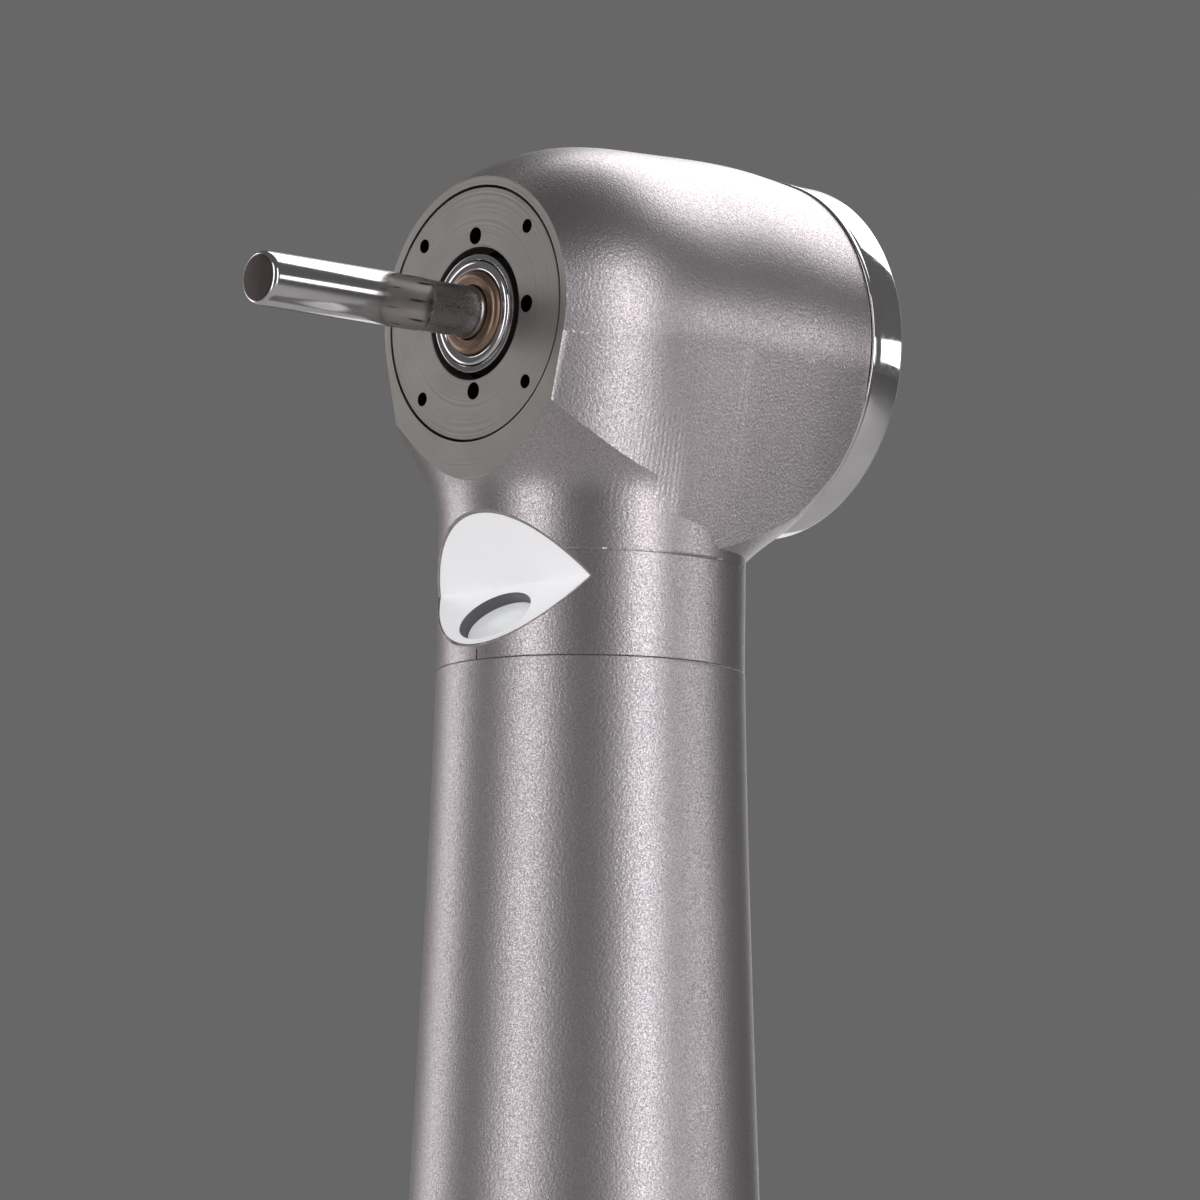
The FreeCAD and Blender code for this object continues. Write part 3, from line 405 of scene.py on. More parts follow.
def eased(piece: Mesh, width: float, angle: float = 32.0, segments: int = 2) -> Mesh:
    """Breaks the sharp edges of a piece.

    Args:
        piece: Piece to ease.
        width: Width of the rounding in millimetres.
        angle: Edges sharper than this are eased, in degrees.
        segments: Steps in the rounding.

    Returns:
        The same piece.
    """
    take(piece)
    bpy.ops.object.modifier_add(type="BEVEL")
    modifier = piece.modifiers[-1]
    modifier.width = width
    modifier.segments = segments
    modifier.limit_method = "ANGLE"
    modifier.angle_limit = math.radians(angle)
    modifier.use_clamp_overlap = True
    bpy.ops.object.modifier_apply(modifier=modifier.name)
    return piece


def turned_surface(outline: Sequence[Point], axis: Axis) -> Surface:
    """Describes a turned surface by its distance and its normal at any place.

    Args:
        outline: Radii and places of the outline, rising along the axis.
        axis: Axis that it is turned about.

    Returns:
        Function that gives the distance and the normal.
    """
    radii, places = (np.array(values) for values in zip(*outline))
    slopes = np.gradient(radii, places)

    def surface(place: Vector) -> tuple[float, Vector]:
        """Measures a place against the surface."""
        along = place.y if axis is Axis.TOOL else place.z
        way = Vector((0, 1, 0)) if axis is Axis.TOOL else Vector((0, 0, 1))
        out = place - way * along
        normal = out.normalized() - way * float(np.interp(along, places, slopes))
        return abs(out.length - float(np.interp(along, places, radii))), normal.normalized()

    return surface


def flat_surface(height: float) -> Surface:
    """Describes the flat face at a place along the tool's axis, looking towards the tool."""
    return lambda place: (abs(place.y - height), Vector((0, -1, 0)))


def trued(piece: Mesh, seat: Matrix, surfaces: Sequence[Surface], near: float = 0.035) -> Mesh:
    """Gives the faces that lie on known surfaces those surfaces' own normals.

    Args:
        piece: Seated and shaded piece.
        seat: Seat that it was brought to.
        surfaces: Surfaces in the piece's own millimetres.
        near: How far a face may be from its surface, in millimetres.

    Returns:
        The same piece.
    """
    mesh = piece.data
    back, turn = seat.inverted(), seat.to_quaternion().to_matrix()
    normals = [loop.vector.copy() for loop in mesh.corner_normals]
    for polygon in mesh.polygons:
        centre, facing = back @ polygon.center, turn.transposed() @ polygon.normal
        measured = [(surface, *surface(centre)) for surface in surfaces]
        fits = [(gap / near + facing.angle(normal, 0.0) / LIKELY_TURN, surface, normal)
                for surface, gap, normal in measured if gap < near]
        if not fits:
            continue
        _, surface, normal = min(fits, key=lambda fit: fit[0])
        if facing.angle(normal, 0.0) > FURTHEST_TURN and polygon.area > TINY * MM * MM:
            continue
        for loop in polygon.loop_indices:
            corner = back @ mesh.vertices[mesh.loops[loop].vertex_index].co
            normals[loop] = turn @ surface(corner)[1]
    mesh.normals_split_custom_set(normals)
    return piece


def seated(piece: Mesh, seat: Matrix, body: str, slot: str, replaces: Iterable[str],
           smooth: float = 32.0) -> Mesh:
    """Brings a finished piece to its place in metres and hands it to the frame.

    Args:
        piece: Finished piece in millimetres.
        seat: Head, tail or world seat.
        body: Body that it rides on.
        slot: Material slot of the record; not used.
        replaces: Frame nodes that it stands for.
        smooth: Edges sharper than this stay sharp, in degrees.

    Returns:
        The same piece.
    """
    moved(piece, seat)
    bpy.ops.object.shade_smooth_by_angle(angle=math.radians(smooth))
    bpy.ops.object.modifier_add(type="WEIGHTED_NORMAL")
    piece.modifiers[-1].keep_sharp = True
    bpy.ops.object.modifier_apply(modifier=piece.modifiers[-1].name)
    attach(piece, body)
    nodes = list(replaces)
    if nodes:
        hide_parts(*nodes)
    LOG.info("%s: %d faces on %s", piece.name, len(piece.data.polygons), body)
    return piece


# ------------------------------------------------------------------ finishes
@dataclass(frozen=True)
class Place:
    """Where a piece sits in the frame: its seat, body, slot and the node it stands for."""

    seat: Matrix
    body: str
    slot: str
    node: str


def ring_made(name: str, outline: Sequence[Point], axis: Axis, steps: int, finish: "Finish",
              place: Place) -> Mesh:
    """Turns a closed ring, dresses it in one finish and seats it.

    Args:
        name: Name of the piece.
        outline: Its section, as radius and place.
        axis: Line to spin about.
        steps: Number of facets round.
        finish: Its finish.
        place: Where it goes.

    Returns:
        The seated ring.
    """
    ring = turned(name, outline, axis, steps, closed=True)
    dressed(ring, finish)
    return seated(ring, place.seat, place.body, place.slot, [place.node])


def linear(colour: str) -> tuple[float, float, float, float]:
    """Turns an sRGB hex colour into the linear values that shaders take.

    Args:
        colour: Colour such as "#8f8b88".

    Returns:
        Linear red, green, blue and full alpha.
    """
    parts = [int(colour[i:i + 2], 16) / 255 for i in (1, 3, 5)]
    red, green, blue = (p / 12.92 if p <= 0.04045 else ((p + 0.055) / 1.055) ** 2.4 for p in parts)
    return red, green, blue, 1.0


def add(tree: bpy.types.NodeTree, kind: str, links: dict[Any, Any] | None = None,
        **settings: Any) -> bpy.types.Node:
    """Adds one node to a material.

    Args:
        tree: Material's node tree.
        kind: Node type without its "ShaderNode" prefix.
        links: Input name or number, with the value or the socket that feeds it.
        settings: Node properties.

    Returns:
        The node.
    """
    node = tree.nodes.new("ShaderNode" + kind)
    for key, value in settings.items():
        setattr(node, key, value)
    for key, value in (links or {}).items():
        if isinstance(value, bpy.types.NodeSocket):
            tree.links.new(value, node.inputs[key])
        else:
            node.inputs[key].default_value = value
    return node


def ramp(tree: bpy.types.NodeTree, factor: bpy.types.NodeSocket, low: float, high: float,
         to_low: float, to_high: float) -> bpy.types.NodeSocket:
    """Maps a value from one range to another, clamped."""
    node = add(tree, "MapRange", {"Value": factor, "From Min": low, "From Max": high, "To Min": to_low,
                                  "To Max": to_high})
    return node.outputs["Result"]


@dataclass(frozen=True)
class Finish:
    """Base of every finish: a name, two close colours and a range of roughness.

    The grain is the size in millimetres of the surface's fine texture, and relief its height.
    """

    name: str
    light: str
    dark: str
    rough: tuple[float, float]
    metal: float = 1.0
    grain: float = 0.08
    relief: float = 0.004
    bump: float = 0.3
    mottle: float = 1.5
    cloud: float = 1.0

    def made(self) -> bpy.types.Material:
        """Builds the material.

        Returns:
            The material, built once and then found by its name.
        """
        found = bpy.data.materials.get(self.name)
        if found:
            return found
        material = bpy.data.materials.new(self.name)
        material.use_nodes = True
        tree = material.node_tree
        tree.nodes.clear()
        shader = add(tree, "BsdfPrincipled", {"Metallic": self.metal})
        output = add(tree, "OutputMaterial")
        tree.links.new(shader.outputs["BSDF"], output.inputs["Surface"])
        self.dress(tree, shader)
        return material

    def place(self, tree: bpy.types.NodeTree) -> bpy.types.NodeSocket:
        """Gives the place on the object, in millimetres about the turbine's centre."""
        texture = add(tree, "TexCoord")
        mapping = add(tree, "Mapping", {"Vector": texture.outputs["Object"], "Location": -HEAD / MM,
                                        "Scale": (1 / MM,) * 3})
        return mapping.outputs["Vector"]

    def noise(self, tree: bpy.types.NodeTree, place: bpy.types.NodeSocket, size: float,
              detail: float = 2.0) -> bpy.types.NodeSocket:
        """Gives a noise whose lumps have a size in millimetres."""
        node = add(tree, "TexNoise", {"Vector": place, "Scale": 1 / size, "Detail": detail, "Roughness": 0.6})
        return node.outputs["Fac"]

    def colour(self, tree: bpy.types.NodeTree, shader: bpy.types.Node, factor: bpy.types.NodeSocket) -> None:
        """Mixes the two colours by a factor."""
        mix = add(tree, "MixRGB", {"Fac": factor, "Color1": linear(self.dark), "Color2": linear(self.light)})
        tree.links.new(mix.outputs[0], shader.inputs["Base Color"])

    def lift(self, tree: bpy.types.NodeTree, shader: bpy.types.Node, height: bpy.types.NodeSocket) -> None:
        """Raises the surface by a height between 0 and 1 times the relief."""
        bump = add(tree, "Bump", {"Height": height, "Strength": self.bump, "Distance": self.relief * MM})
        tree.links.new(bump.outputs["Normal"], shader.inputs["Normal"])

    def dress(self, tree: bpy.types.NodeTree, shader: bpy.types.Node) -> None:
        """Gives an even, slightly mottled surface with fine grain.

        Args:
            tree: Material's node tree.
            shader: Its surface shader.
        """
        place = self.place(tree)
        mottle = self.noise(tree, place, self.mottle)
        grain = self.noise(tree, place, self.grain)
        self.colour(tree, shader, ramp(tree, mottle, 0.35, 0.65, 0.0, 1.0))
        tree.links.new(ramp(tree, grain, 0.35, 0.65, *self.rough), shader.inputs["Roughness"])
        self.lift(tree, shader, grain)


@dataclass(frozen=True)
class Blasted(Finish):
    """Metal blasted with glass beads: a soft sheen broken up by tiny dents that sparkle."""

    tracks: float = 0.0      # strength of the turning marks left under the blasting
    spacing: float = 0.16    # distance between the marks, in millimetres
    # Run of the marks, and where they show.
    worn: tuple[tuple[str, tuple[float, float, float], float], ...] = (
        ("Y", (4.5, -1.6, -4.6), 2.2), ("Z", (3.9, -2.2, -6.4), 1.6))

    def dress(self, tree: bpy.types.NodeTree, shader: bpy.types.Node) -> None:
        """Adds dents, sparkle, a cloudy tone and faint turning marks.

        Args:
            tree: Material's node tree.
            shader: Its surface shader.
        """
        place = self.place(tree)
        dents = self.noise(tree, place, self.grain, 3.0)
        sparkle = self.noise(tree, place, self.grain * 0.55, 1.0)
        cloud = self.noise(tree, place, self.mottle)
        cloud = ramp(tree, cloud, 0.3, 0.7, 0.5 - self.cloud / 2, 0.5 + self.cloud / 2)
        tone = add(tree, "Math", {0: cloud, 1: ramp(tree, sparkle, 0.30, 0.70, -0.25, 0.25)}, operation="ADD")
        self.colour(tree, shader, ramp(tree, tone.outputs[0], 0.2, 0.8, 0.0, 1.0))
        gloss = ramp(tree, sparkle, 0.36, 0.66, self.rough[1], self.rough[0])
        tree.links.new(gloss, shader.inputs["Roughness"])
        height = dents
        if self.tracks:
            split = add(tree, "SeparateXYZ", {"Vector": place})
            for axis, spot, reach in self.worn:
                gap = add(tree, "VectorMath", {0: place, 1: spot}, operation="DISTANCE")
                fade = ramp(tree, gap.outputs["Value"], reach, reach * 0.4, 0.0, self.tracks)
                wave = add(tree, "Math", {0: split.outputs[axis], 1: FULL_TURN / self.spacing},
                           operation="MULTIPLY")
                ridge = add(tree, "Math", {0: wave.outputs[0]}, operation="SINE")
                part = add(tree, "Math", {0: ridge.outputs[0], 1: fade}, operation="MULTIPLY")
                height = add(tree, "Math", {0: height, 1: part.outputs[0]}, operation="ADD").outputs[0]
        self.lift(tree, shader, height)


@dataclass(frozen=True)
class Turned(Finish):
    """Metal faced on a lathe: fine rings round the tool's axis that each catch the light differently."""

    spacing: float = 0.05

    def dress(self, tree: bpy.types.NodeTree, shader: bpy.types.Node) -> None:
        """Adds rings about the tool's axis.

        Args:
            tree: Material's node tree.
            shader: Its surface shader.
        """
        place = self.place(tree)
        flat = add(tree, "VectorMath", {0: place, 1: (1, 0, 1)}, operation="MULTIPLY")
        radius = add(tree, "VectorMath", {0: flat.outputs["Vector"]}, operation="LENGTH")
        rings = add(tree, "TexNoise", {"W": radius.outputs["Value"], "Scale": 1 / self.spacing, "Detail": 2.0,
                                       "Roughness": 0.7}, noise_dimensions="1D").outputs["Fac"]
        cloud = self.noise(tree, place, self.mottle)
        tone = add(tree, "Math", {0: cloud, 1: ramp(tree, rings, 0.3, 0.7, -0.3, 0.3)}, operation="ADD")
        self.colour(tree, shader, ramp(tree, tone.outputs[0], 0.2, 0.8, 0.0, 1.0))
        tree.links.new(ramp(tree, rings, 0.35, 0.65, *self.rough), shader.inputs["Roughness"])
        self.lift(tree, shader, rings)


@dataclass(frozen=True)
class PaintedGlow(Finish):
    """Surface given a painted glow: emission that brightens it, though it is no lamp."""

    glow: float = 1.0
    tint: str = "#ffffff"

    def dress(self, tree: bpy.types.NodeTree, shader: bpy.types.Node) -> None:
        """Adds a painted glow to the plain surface.

        Args:
            tree: Material's node tree.
            shader: Its surface shader.
        """
        super().dress(tree, shader)
        shader.inputs["Emission Color"].default_value = linear(self.tint)
        shader.inputs["Emission Strength"].default_value = self.glow


# Stainless steel blasted with glass beads: warm pinkish grey, matt, with fine sparkle.
SHELL = Blasted("bead_blasted_steel", "#bfb8bb", "#948d91", (0.30, 0.44), grain=0.085, relief=0.015, bump=0.7,
                tracks=0.10, mottle=3.0, cloud=0.05)
SLEEVE = Blasted("bead_blasted_sleeve", "#bfb8bb", "#969094", (0.33, 0.47), grain=0.09, relief=0.015,
                 bump=0.7, mottle=3.0, cloud=0.05)
# Stainless steel faced on a lathe: grey-brown with fine rings.
FACE = Turned("faced_steel", "#b6b2ae", "#a8a4a0", (0.30, 0.42), relief=0.002, bump=0.35)
# Painted shade: the same steel coloured near black inside a drilled outlet, standing for the shade its depth
# gives.
BORE_PAINTED_SHADE = Finish("outlet_bore_painted_shade", "#1c1a19", "#121110", (0.5, 0.65), grain=0.05)
# Stainless steel buffed to a mirror: sharp-edged reflections with the faintest haze.
MIRROR = Finish("buffed_steel", "#d6d3d6", "#cdcacd", (0.05, 0.10), grain=0.3, relief=0.0005, bump=0.1)
# Tool steel ground between centres: bright, with marks too fine to see.
GROUND = Finish("ground_steel", "#c9c6c8", "#c0bdbf", (0.11, 0.16), grain=0.12, relief=0.0004, bump=0.1)
# The same steel where a wheel has relieved it: satin.
RELIEVED = Finish("relieved_steel", "#a39f9f", "#8c8888", (0.24, 0.36), grain=0.06, relief=0.002)
# Cut end of the blank: heat-darkened and dull.
CUT_END = Finish("cut_end_steel", "#5a4f4f", "#463d3d", (0.35, 0.5), grain=0.07, relief=0.004)
# Leaded bronze of the chuck's nose: brown, lightly worn.
BRONZE = Turned("turned_bronze", "#9c8473", "#7d6757", (0.28, 0.42), relief=0.002, spacing=0.09)
# Moulded white polymer round the lamp: semi-gloss, faintly warm, with a painted glow that makes it whiter.
WHITE = PaintedGlow("white_polymer_painted_glow", "#f1eff3", "#ebe9ed", (0.25, 0.35), metal=0.0, grain=0.2,
                relief=0.001, glow=0.26)
# Painted shade: the same polymer coloured grey on the wall of the lamp's opening, where it stands in its own
# shade.
SHADED = Finish("shaded_polymer_wall", "#77777b", "#6a6a6e", (0.4, 0.5), metal=0.0, grain=0.2)
# Rod glass over the lamp, with a painted glow that brightens it.
LENS = PaintedGlow("rod_glass_painted_glow", "#e4e6e8", "#d9dbdd", (0.08, 0.14), metal=0.0, grain=0.4,
               relief=0.0005, glow=0.26)
# Lamp board with its phosphor.
BOARD = Finish("lamp_board", "#e7dfae", "#d5cb92", (0.5, 0.6), metal=0.0, grain=0.1)
# Moulded nitrile rubber: black and matt.
RUBBER = Finish("moulded_rubber", "#1a1a1b", "#121213", (0.55, 0.7), metal=0.0, grain=0.12, relief=0.004)
# Free-cutting brass, turned.
BRASS = Turned("turned_brass", "#caa664", "#b58f4f", (0.22, 0.34), relief=0.002)
# Drawn stainless tube.
TUBE = Finish("drawn_steel_tube", "#b7b5b5", "#a5a3a3", (0.25, 0.35), grain=0.12, relief=0.002)
# Anodised aluminium wheel: pale and satin.
ALLOY = Finish("anodised_aluminium", "#c5c7c9", "#b5b7ba", (0.3, 0.42), grain=0.08, relief=0.003)
# Lapped nitride balls: black with a soft gloss.
CERAMIC = Finish("lapped_ceramic", "#2d2d30", "#232326", (0.12, 0.2), metal=0.0, grain=0.2, relief=0.001)
# Machined phenolic cage: brown and dull.
PHENOLIC = Finish("machined_phenolic", "#7a5230", "#65421f", (0.5, 0.62), metal=0.0, grain=0.09)
# Extruded insulation of the lamp's wires.
INSULATION = Finish("extruded_insulation", "#a52a26", "#931f1c", (0.35, 0.45), metal=0.0, grain=0.2)
# Enamelled copper winding.
COPPER = Finish("enamelled_copper", "#b5683c", "#9a5530", (0.25, 0.36), grain=0.12, relief=0.01)

INNER_FINISHES: dict[Finish, tuple[str, ...]] = {
    TUBE: ("drive_air_tube", "water_tube", "chip_air_tube", "water_elbow", "chip_air_elbow", "generator_can",
           "generator_outlet", "generator_nozzle"),
    BRASS: ("neck_manifold", "generator_bush_low", "generator_bush_high"),
    GROUND: ("front_bearing_outer", "front_bearing_inner", "rear_bearing_outer", "rear_bearing_inner",
             "preload_washer", "button_spring", "button_pad", "chuck_plug", "opener_pin", "generator_rotor"),
    PHENOLIC: ("front_bearing_cage", "rear_bearing_cage"),
    CERAMIC: ("front_bearing_balls", "rear_bearing_balls"),
    RUBBER: ("front_oring", "rear_oring", "neck_oring", "tail_oring", "nonreturn_valve"),
    ALLOY: ("impeller",),
    INSULATION: ("led_leads",),
    COPPER: ("generator_coil",),
}


def dressed(piece: Mesh, *finishes: Finish) -> Mesh:
    """Puts finishes on a piece, one slot for each.

    Args:
        piece: Piece to dress.
        finishes: Finishes in slot order.

    Returns:
        The same piece.
    """
    piece.data.materials.clear()
    for finish in finishes:
        piece.data.materials.append(finish.made())
    return piece


def painted(piece: Mesh, slot: int, chosen: Callable[[bpy.types.MeshPolygon], bool]) -> Mesh:
    """Gives some faces of a piece another of its finishes.

    Args:
        piece: Dressed piece.
        slot: Number of the finish.
        chosen: Test that picks the faces.

    Returns:
        The same piece.
    """
    for polygon in piece.data.polygons:
        if chosen(polygon):
            polygon.material_index = slot
    return piece


# ------------------------------------------------------------------ lamp room of the shell and the insert
@dataclass(frozen=True)
class LampRoom:
    """Sizes of the notch on the tool side of the neck, in millimetres about the turbine's centre."""

    crease: Point = (-3.05, -7.98)
    up_deg: float = 36.2
    down_deg: float = 38.6
    reach: float = 4.6
    rim: float = 0.07
    foot: float = 0.20
    wall: float = 0.50
    depth: float = 1.30
    width: float = 12.0
    along: float = 1.22
    half: Point = (1.45, 0.95)
    sunk: float = 0.34
    neck_radius: float = 4.60
    seam: float = -10.33
    roof: float = -5.15

    def on_upper(self) -> Matrix:
        """Seat of things drawn upright against the upper face."""
        turn = Matrix.Rotation(math.radians(self.up_deg), 4, "X")
        return Matrix.Translation((0, *self.crease)) @ turn

    def on_lower(self, along: float = 0.0) -> Matrix:
        """Seat of things drawn flat on the lower face.

        Args:
            along: Distance down the face from the crease.

        Returns:
            The seat.
        """
        down = math.radians(self.down_deg)
        place = (0, self.crease[0] - along * math.sin(down), self.crease[1] - along * math.cos(down))
        return Matrix.Translation(place) @ Matrix.Rotation(FULL_TURN / 4 - down, 4, "X")

    def notch(self) -> Mesh:
        """Builds the wedge that is cut from the neck.

        Returns:
            The wedge.
        """
        half = self.width / 2
        upper = block("notch", (-half, -3 * self.reach, -3 * self.reach), (half, 0, 2 * self.reach))
        moved(upper, self.on_upper())
        lower = block("notch_lower", (-half, -2 * self.reach, 0), (half, 3 * self.reach, 3 * self.reach))
        moved(lower, self.on_lower())
        return combined(upper, lower, Join.KEEP)

    def envelope(self, slack: float = 0.0) -> Mesh:
        """Builds the room of the white insert.

        Args:
            slack: Amount by which it is smaller all round.

        Returns:
            The solid.
        """
        half = self.width / 2
        top = self.reach + self.wall
        plate = block("envelope", (-half, slack - 1, -self.wall), (half, self.wall - slack, top))
        moved(plate, self.on_upper())
        lower = block("envelope_block", (-half, -top, slack - self.depth), (half, self.wall, 1 - slack))
        moved(lower, self.on_lower())
        foot, roof = Vector((0, 0, self.seam + self.foot)), Vector((0, 0, self.roof))
        shell = cylinder("envelope_shell", self.neck_radius - self.rim - slack, foot, roof, 192)
        return combined(combined(plate, lower, Join.ADD), shell, Join.KEEP)

    def opening(self, low: float, high: float, shrink: float = 0.0) -> Mesh:
        """Builds an oval plug in the lower face.

        Args:
            low: Depth of its floor.
            high: Height of its top.
            shrink: Amount by which it is smaller all round.

        Returns:
            The plug.
        """
        plug = oval("opening", (self.half[0] - shrink, self.half[1] - shrink), low, high)
        return moved(plug, self.on_lower(self.along))


LAMP_ROOM = LampRoom()


# ------------------------------------------------------------------ head shell
@dataclass
class HeadShell:
    """Barrel and neck in one piece, blasted all over but for the turned front face."""

    room: LampRoom
    face_at: float = -4.78
    seam_at: float = 6.34
    barrel: tuple[Point, ...] = ((4.10, -4.78), (4.70, -3.75), (5.28, -2.2), (5.559, 0.7), (5.62, 4.3),
                                 (5.40, 6.34))
    leans: tuple[Point, ...] = ((-4.78, 14.0), (-2.39, 12.2), (-1.26, 10.7), (-0.5, 9.2), (0.46, 9.1),
                                (1.5, 10.0), (2.46, 10.7), (4.3, 11.0), (6.34, 11.5))
    lean_blur: float = 0.3
    front_flare: tuple[Point, ...] = ((4.60, -7.65), (4.56, -6.2), (4.70, -5.2), (5.11, -4.35), (5.88, -3.03),
                                      (6.95, -1.60), (8.30, -0.40))
    flare_blend: float = 18.0
    lap: float = 0.001
    back_flare: tuple[Point, ...] = ((4.60, -6.87), (5.14, -6.38), (6.12, -5.60), (6.66, -4.93),
                                     (7.10, -4.35), (7.73, -3.21), (8.30, -1.50))
    low: float = -7.30
    neck_radius: float = 4.60
    neck_line: tuple[float, float, float] = (-7.20, 0.05, 0.02)
    seam: float = -10.33
    neck_top: float = -4.10
    tick: tuple[float, float, float] = (0.08, 0.06, 0.32)
    spigot: Point = (3.92, 4.2)
    seat_radius: float = 3.84
    disc_back: float = -3.88
    bores: tuple[tuple[float, float, float], ...] = (
        (2.15, -4.5, -3.40), (3.45, -3.50, -1.0), (4.50, -1.08, 3.30), (4.95, 3.25, 8.0))
    manifold: tuple[float, float, float] = (3.35, -10.95, -1.90)
    edge: float = 0.045

    def turned_barrel(self) -> Mesh:
        """Turns the barrel.

        Returns:
            The barrel.
        """
        curve = curve_through(self.barrel, 56)
        return turned("head_shell", [(0, self.face_at), *curve, (0, self.seam_at)], Axis.TOOL, 256)

    def lean_at(self, place: float) -> float:
        """Lean of the flat sides at a place along the barrel, in radians."""
        places, degrees = zip(*self.leans)
        near = np.linspace(place - self.lean_blur, place + self.lean_blur, 7)
        return math.radians(float(np.interp(near, places, degrees).mean()))

    @cached_property
    def line(self) -> tuple[tuple[float, ...], ...]:
        """Radii and places of the barrel's outline."""
        return tuple(zip(*curve_through(self.barrel, 200)))

    def radius_at(self, place: float) -> float:
        """Barrel's radius at a place along its axis."""
        radii, places = self.line
        return float(np.interp(place, places, radii))

    def underside(self) -> Mesh:
        """Shapes the flat leaning sides from a box sliced along the barrel.

        Returns:
            The solid below the barrel.
        """
        piece = block("underside", (-1, self.face_at, -1), (1, self.seam_at, 0))
        take(piece)
        bpy.ops.object.mode_set(mode="EDIT")
        slices = 48
        for index in range(1, slices):
            place = self.face_at + (self.seam_at - self.face_at) * index / slices
            bpy.ops.mesh.select_all(action="SELECT")
            bpy.ops.mesh.bisect(plane_co=(0, place, 0), plane_no=(0, 1, 0))
        bpy.ops.object.mode_set(mode="OBJECT")

        def shape(corner: Vector) -> Vector:
            """Leans the side through a corner."""
            lean, radius = self.lean_at(corner.y), self.radius_at(corner.y)
            side = math.copysign(1, corner.x)
            if corner.z > -0.5:
                return Vector((side * radius * math.cos(lean), corner.y, -radius * math.sin(lean)))
            half = (radius + self.low * math.sin(lean)) / math.cos(lean)
            return Vector((side * half, corner.y, self.low))

        return reshaped(piece, shape)

    def flare(self, curve: Sequence[Point], name: str) -> Mesh:
        """Turns one half of the shape between neck and barrel.

        Args:
            curve: Outline of the flare.
            name: Name of the piece.

        Returns:
            The turned solid.
        """
        samples = curve_through(curve, 36)
        return turned(name, [(0, curve[0][1]), *samples, (curve[-1][0], 0.0), (0, 0.0)], Axis.NECK, 256)

    def share_at(self, place: Vector) -> float:
        """Share of the back flare's shape that the front one takes on as it nears the sides."""
        angle = math.degrees(math.atan2(-place.y, abs(place.x)))
        return max(0.0, 1.0 - max(angle, 0.0) / self.flare_blend) ** 2

    def widened(self, corner: Vector) -> Vector:
        """Moves a corner of the front flare outwards where it nears the back one."""
        back_radii, back_places = zip(*curve_through(self.back_flare, 60))
        reach = Vector((corner.x, corner.y)).length
        if reach < self.neck_radius - 0.2 or corner.z > -0.5:
            return corner
        wider = max(reach, float(np.interp(corner.z, back_places, back_radii)))
        scale = 1 + (wider / reach - 1) * self.share_at(corner)
        return Vector((corner.x * scale, corner.y * scale, corner.z))

    def skirt(self) -> Mesh:
        """Builds all that lies between barrel and neck.

        Returns:
            The solid.
        """
        front = reshaped(self.flare(self.front_flare, "front"), self.widened)
        combined(front, block("half", (-FAR, -FAR, -FAR), (FAR, 0, FAR)), Join.KEEP)
        back = combined(self.flare(self.back_flare, "back"),
                        block("half", (-FAR, -self.lap, -FAR), (FAR, FAR, FAR)), Join.KEEP)
        return combined(combined(front, back, Join.ADD), self.underside(), Join.KEEP)

    def neck(self) -> Mesh:
        """Turns the neck with its spigot.

        Returns:
            The neck.
        """
        foot = self.seam - self.spigot[1]
        line_at, half, depth = self.neck_line
        outline = [(0, foot), (self.spigot[0], foot), (self.spigot[0], self.seam),
                   (self.neck_radius - 0.03, self.seam), (self.neck_radius, self.seam + 0.03),
                   (self.neck_radius, line_at - half),
                   (self.neck_radius - depth, line_at), (self.neck_radius, line_at + half),
                   (self.neck_radius, self.neck_top), (0, self.neck_top)]
        return turned("neck", outline, Axis.NECK, 256)

    def build(self) -> Mesh:
        """Joins, bores and dresses the shell.

        Returns:
            The seated shell.
        """
        shell = combined(combined(self.turned_barrel(), self.skirt(), Join.ADD), self.neck(), Join.ADD)
        cuts = [block("ahead", (-FAR, -FAR, -FAR), (FAR, self.face_at, FAR))]
        ahead = self.face_at - 1
        recess = [(0, ahead), (self.seat_radius, ahead), (self.seat_radius, self.disc_back),
                  (0, self.disc_back)]
        cuts.append(turned("recess", recess, Axis.TOOL, 192))
        for radius, start, end in self.bores:
            cuts.append(turned("bore", [(0, start), (radius, start), (radius, end), (0, end)], Axis.TOOL, 96))
        cuts += [self.room.notch(), self.room.envelope(), self.room.opening(-1.7, 0.5)]
        radius, top, flat = self.manifold
        room = cylinder("manifold", radius, Vector((0, 0, self.seam - 6)), Vector((0, 0, top)))
        cuts.append(combined(room, block("flat", (-FAR, flat, -FAR), (FAR, FAR, FAR)), Join.KEEP))
        start, width, height = self.tick
        cuts.append(block("tick", (start, -self.neck_radius - width, self.seam - 0.05),
                          (start + width, -self.neck_radius + width, self.seam + height)))
        for cut in cuts:
            combined(shell, cut, Join.CUT)
        tidy_mesh(shell)
        eased(shell, self.edge)
        dressed(shell, SHELL, FACE)
        painted(shell, 1, lambda face: face.normal.y < -0.999 and face.center.y < self.face_at + 0.01)
        seated(shell, HEAD_SEAT, "handle", "blasted_metal", ["head_housing"])
        return trued(shell, HEAD_SEAT, self.surfaces())

    def surfaces(self) -> list[Surface]:
        """Describes the outer surfaces of the shell.

        Returns:
            Barrel, both flares, neck, flat sides and front face.
        """
        neck = [(self.neck_radius, self.seam), (self.neck_radius, self.neck_top)]
        curves = [turned_surface(curve_through(curve, 200), Axis.NECK)
                  for curve in (self.front_flare, self.back_flare)]

        def side(place: Vector) -> tuple[float, Vector]:
            """Measures a place against the flat side that it is next to."""
            def over(along: float) -> float:
                """Height over the side as it leans at a place along the barrel."""
                lean = self.lean_at(along)
                return abs(place.x) * math.cos(lean) - place.z * math.sin(lean) - self.radius_at(along)

            lean = self.lean_at(place.y)
            slope = (over(place.y + 0.05) - over(place.y - 0.05)) / 0.1
            normal = Vector((math.copysign(math.cos(lean), place.x), slope, -math.sin(lean)))
            return (abs(over(place.y)) if place.z < 0 else 1.0), normal.normalized()

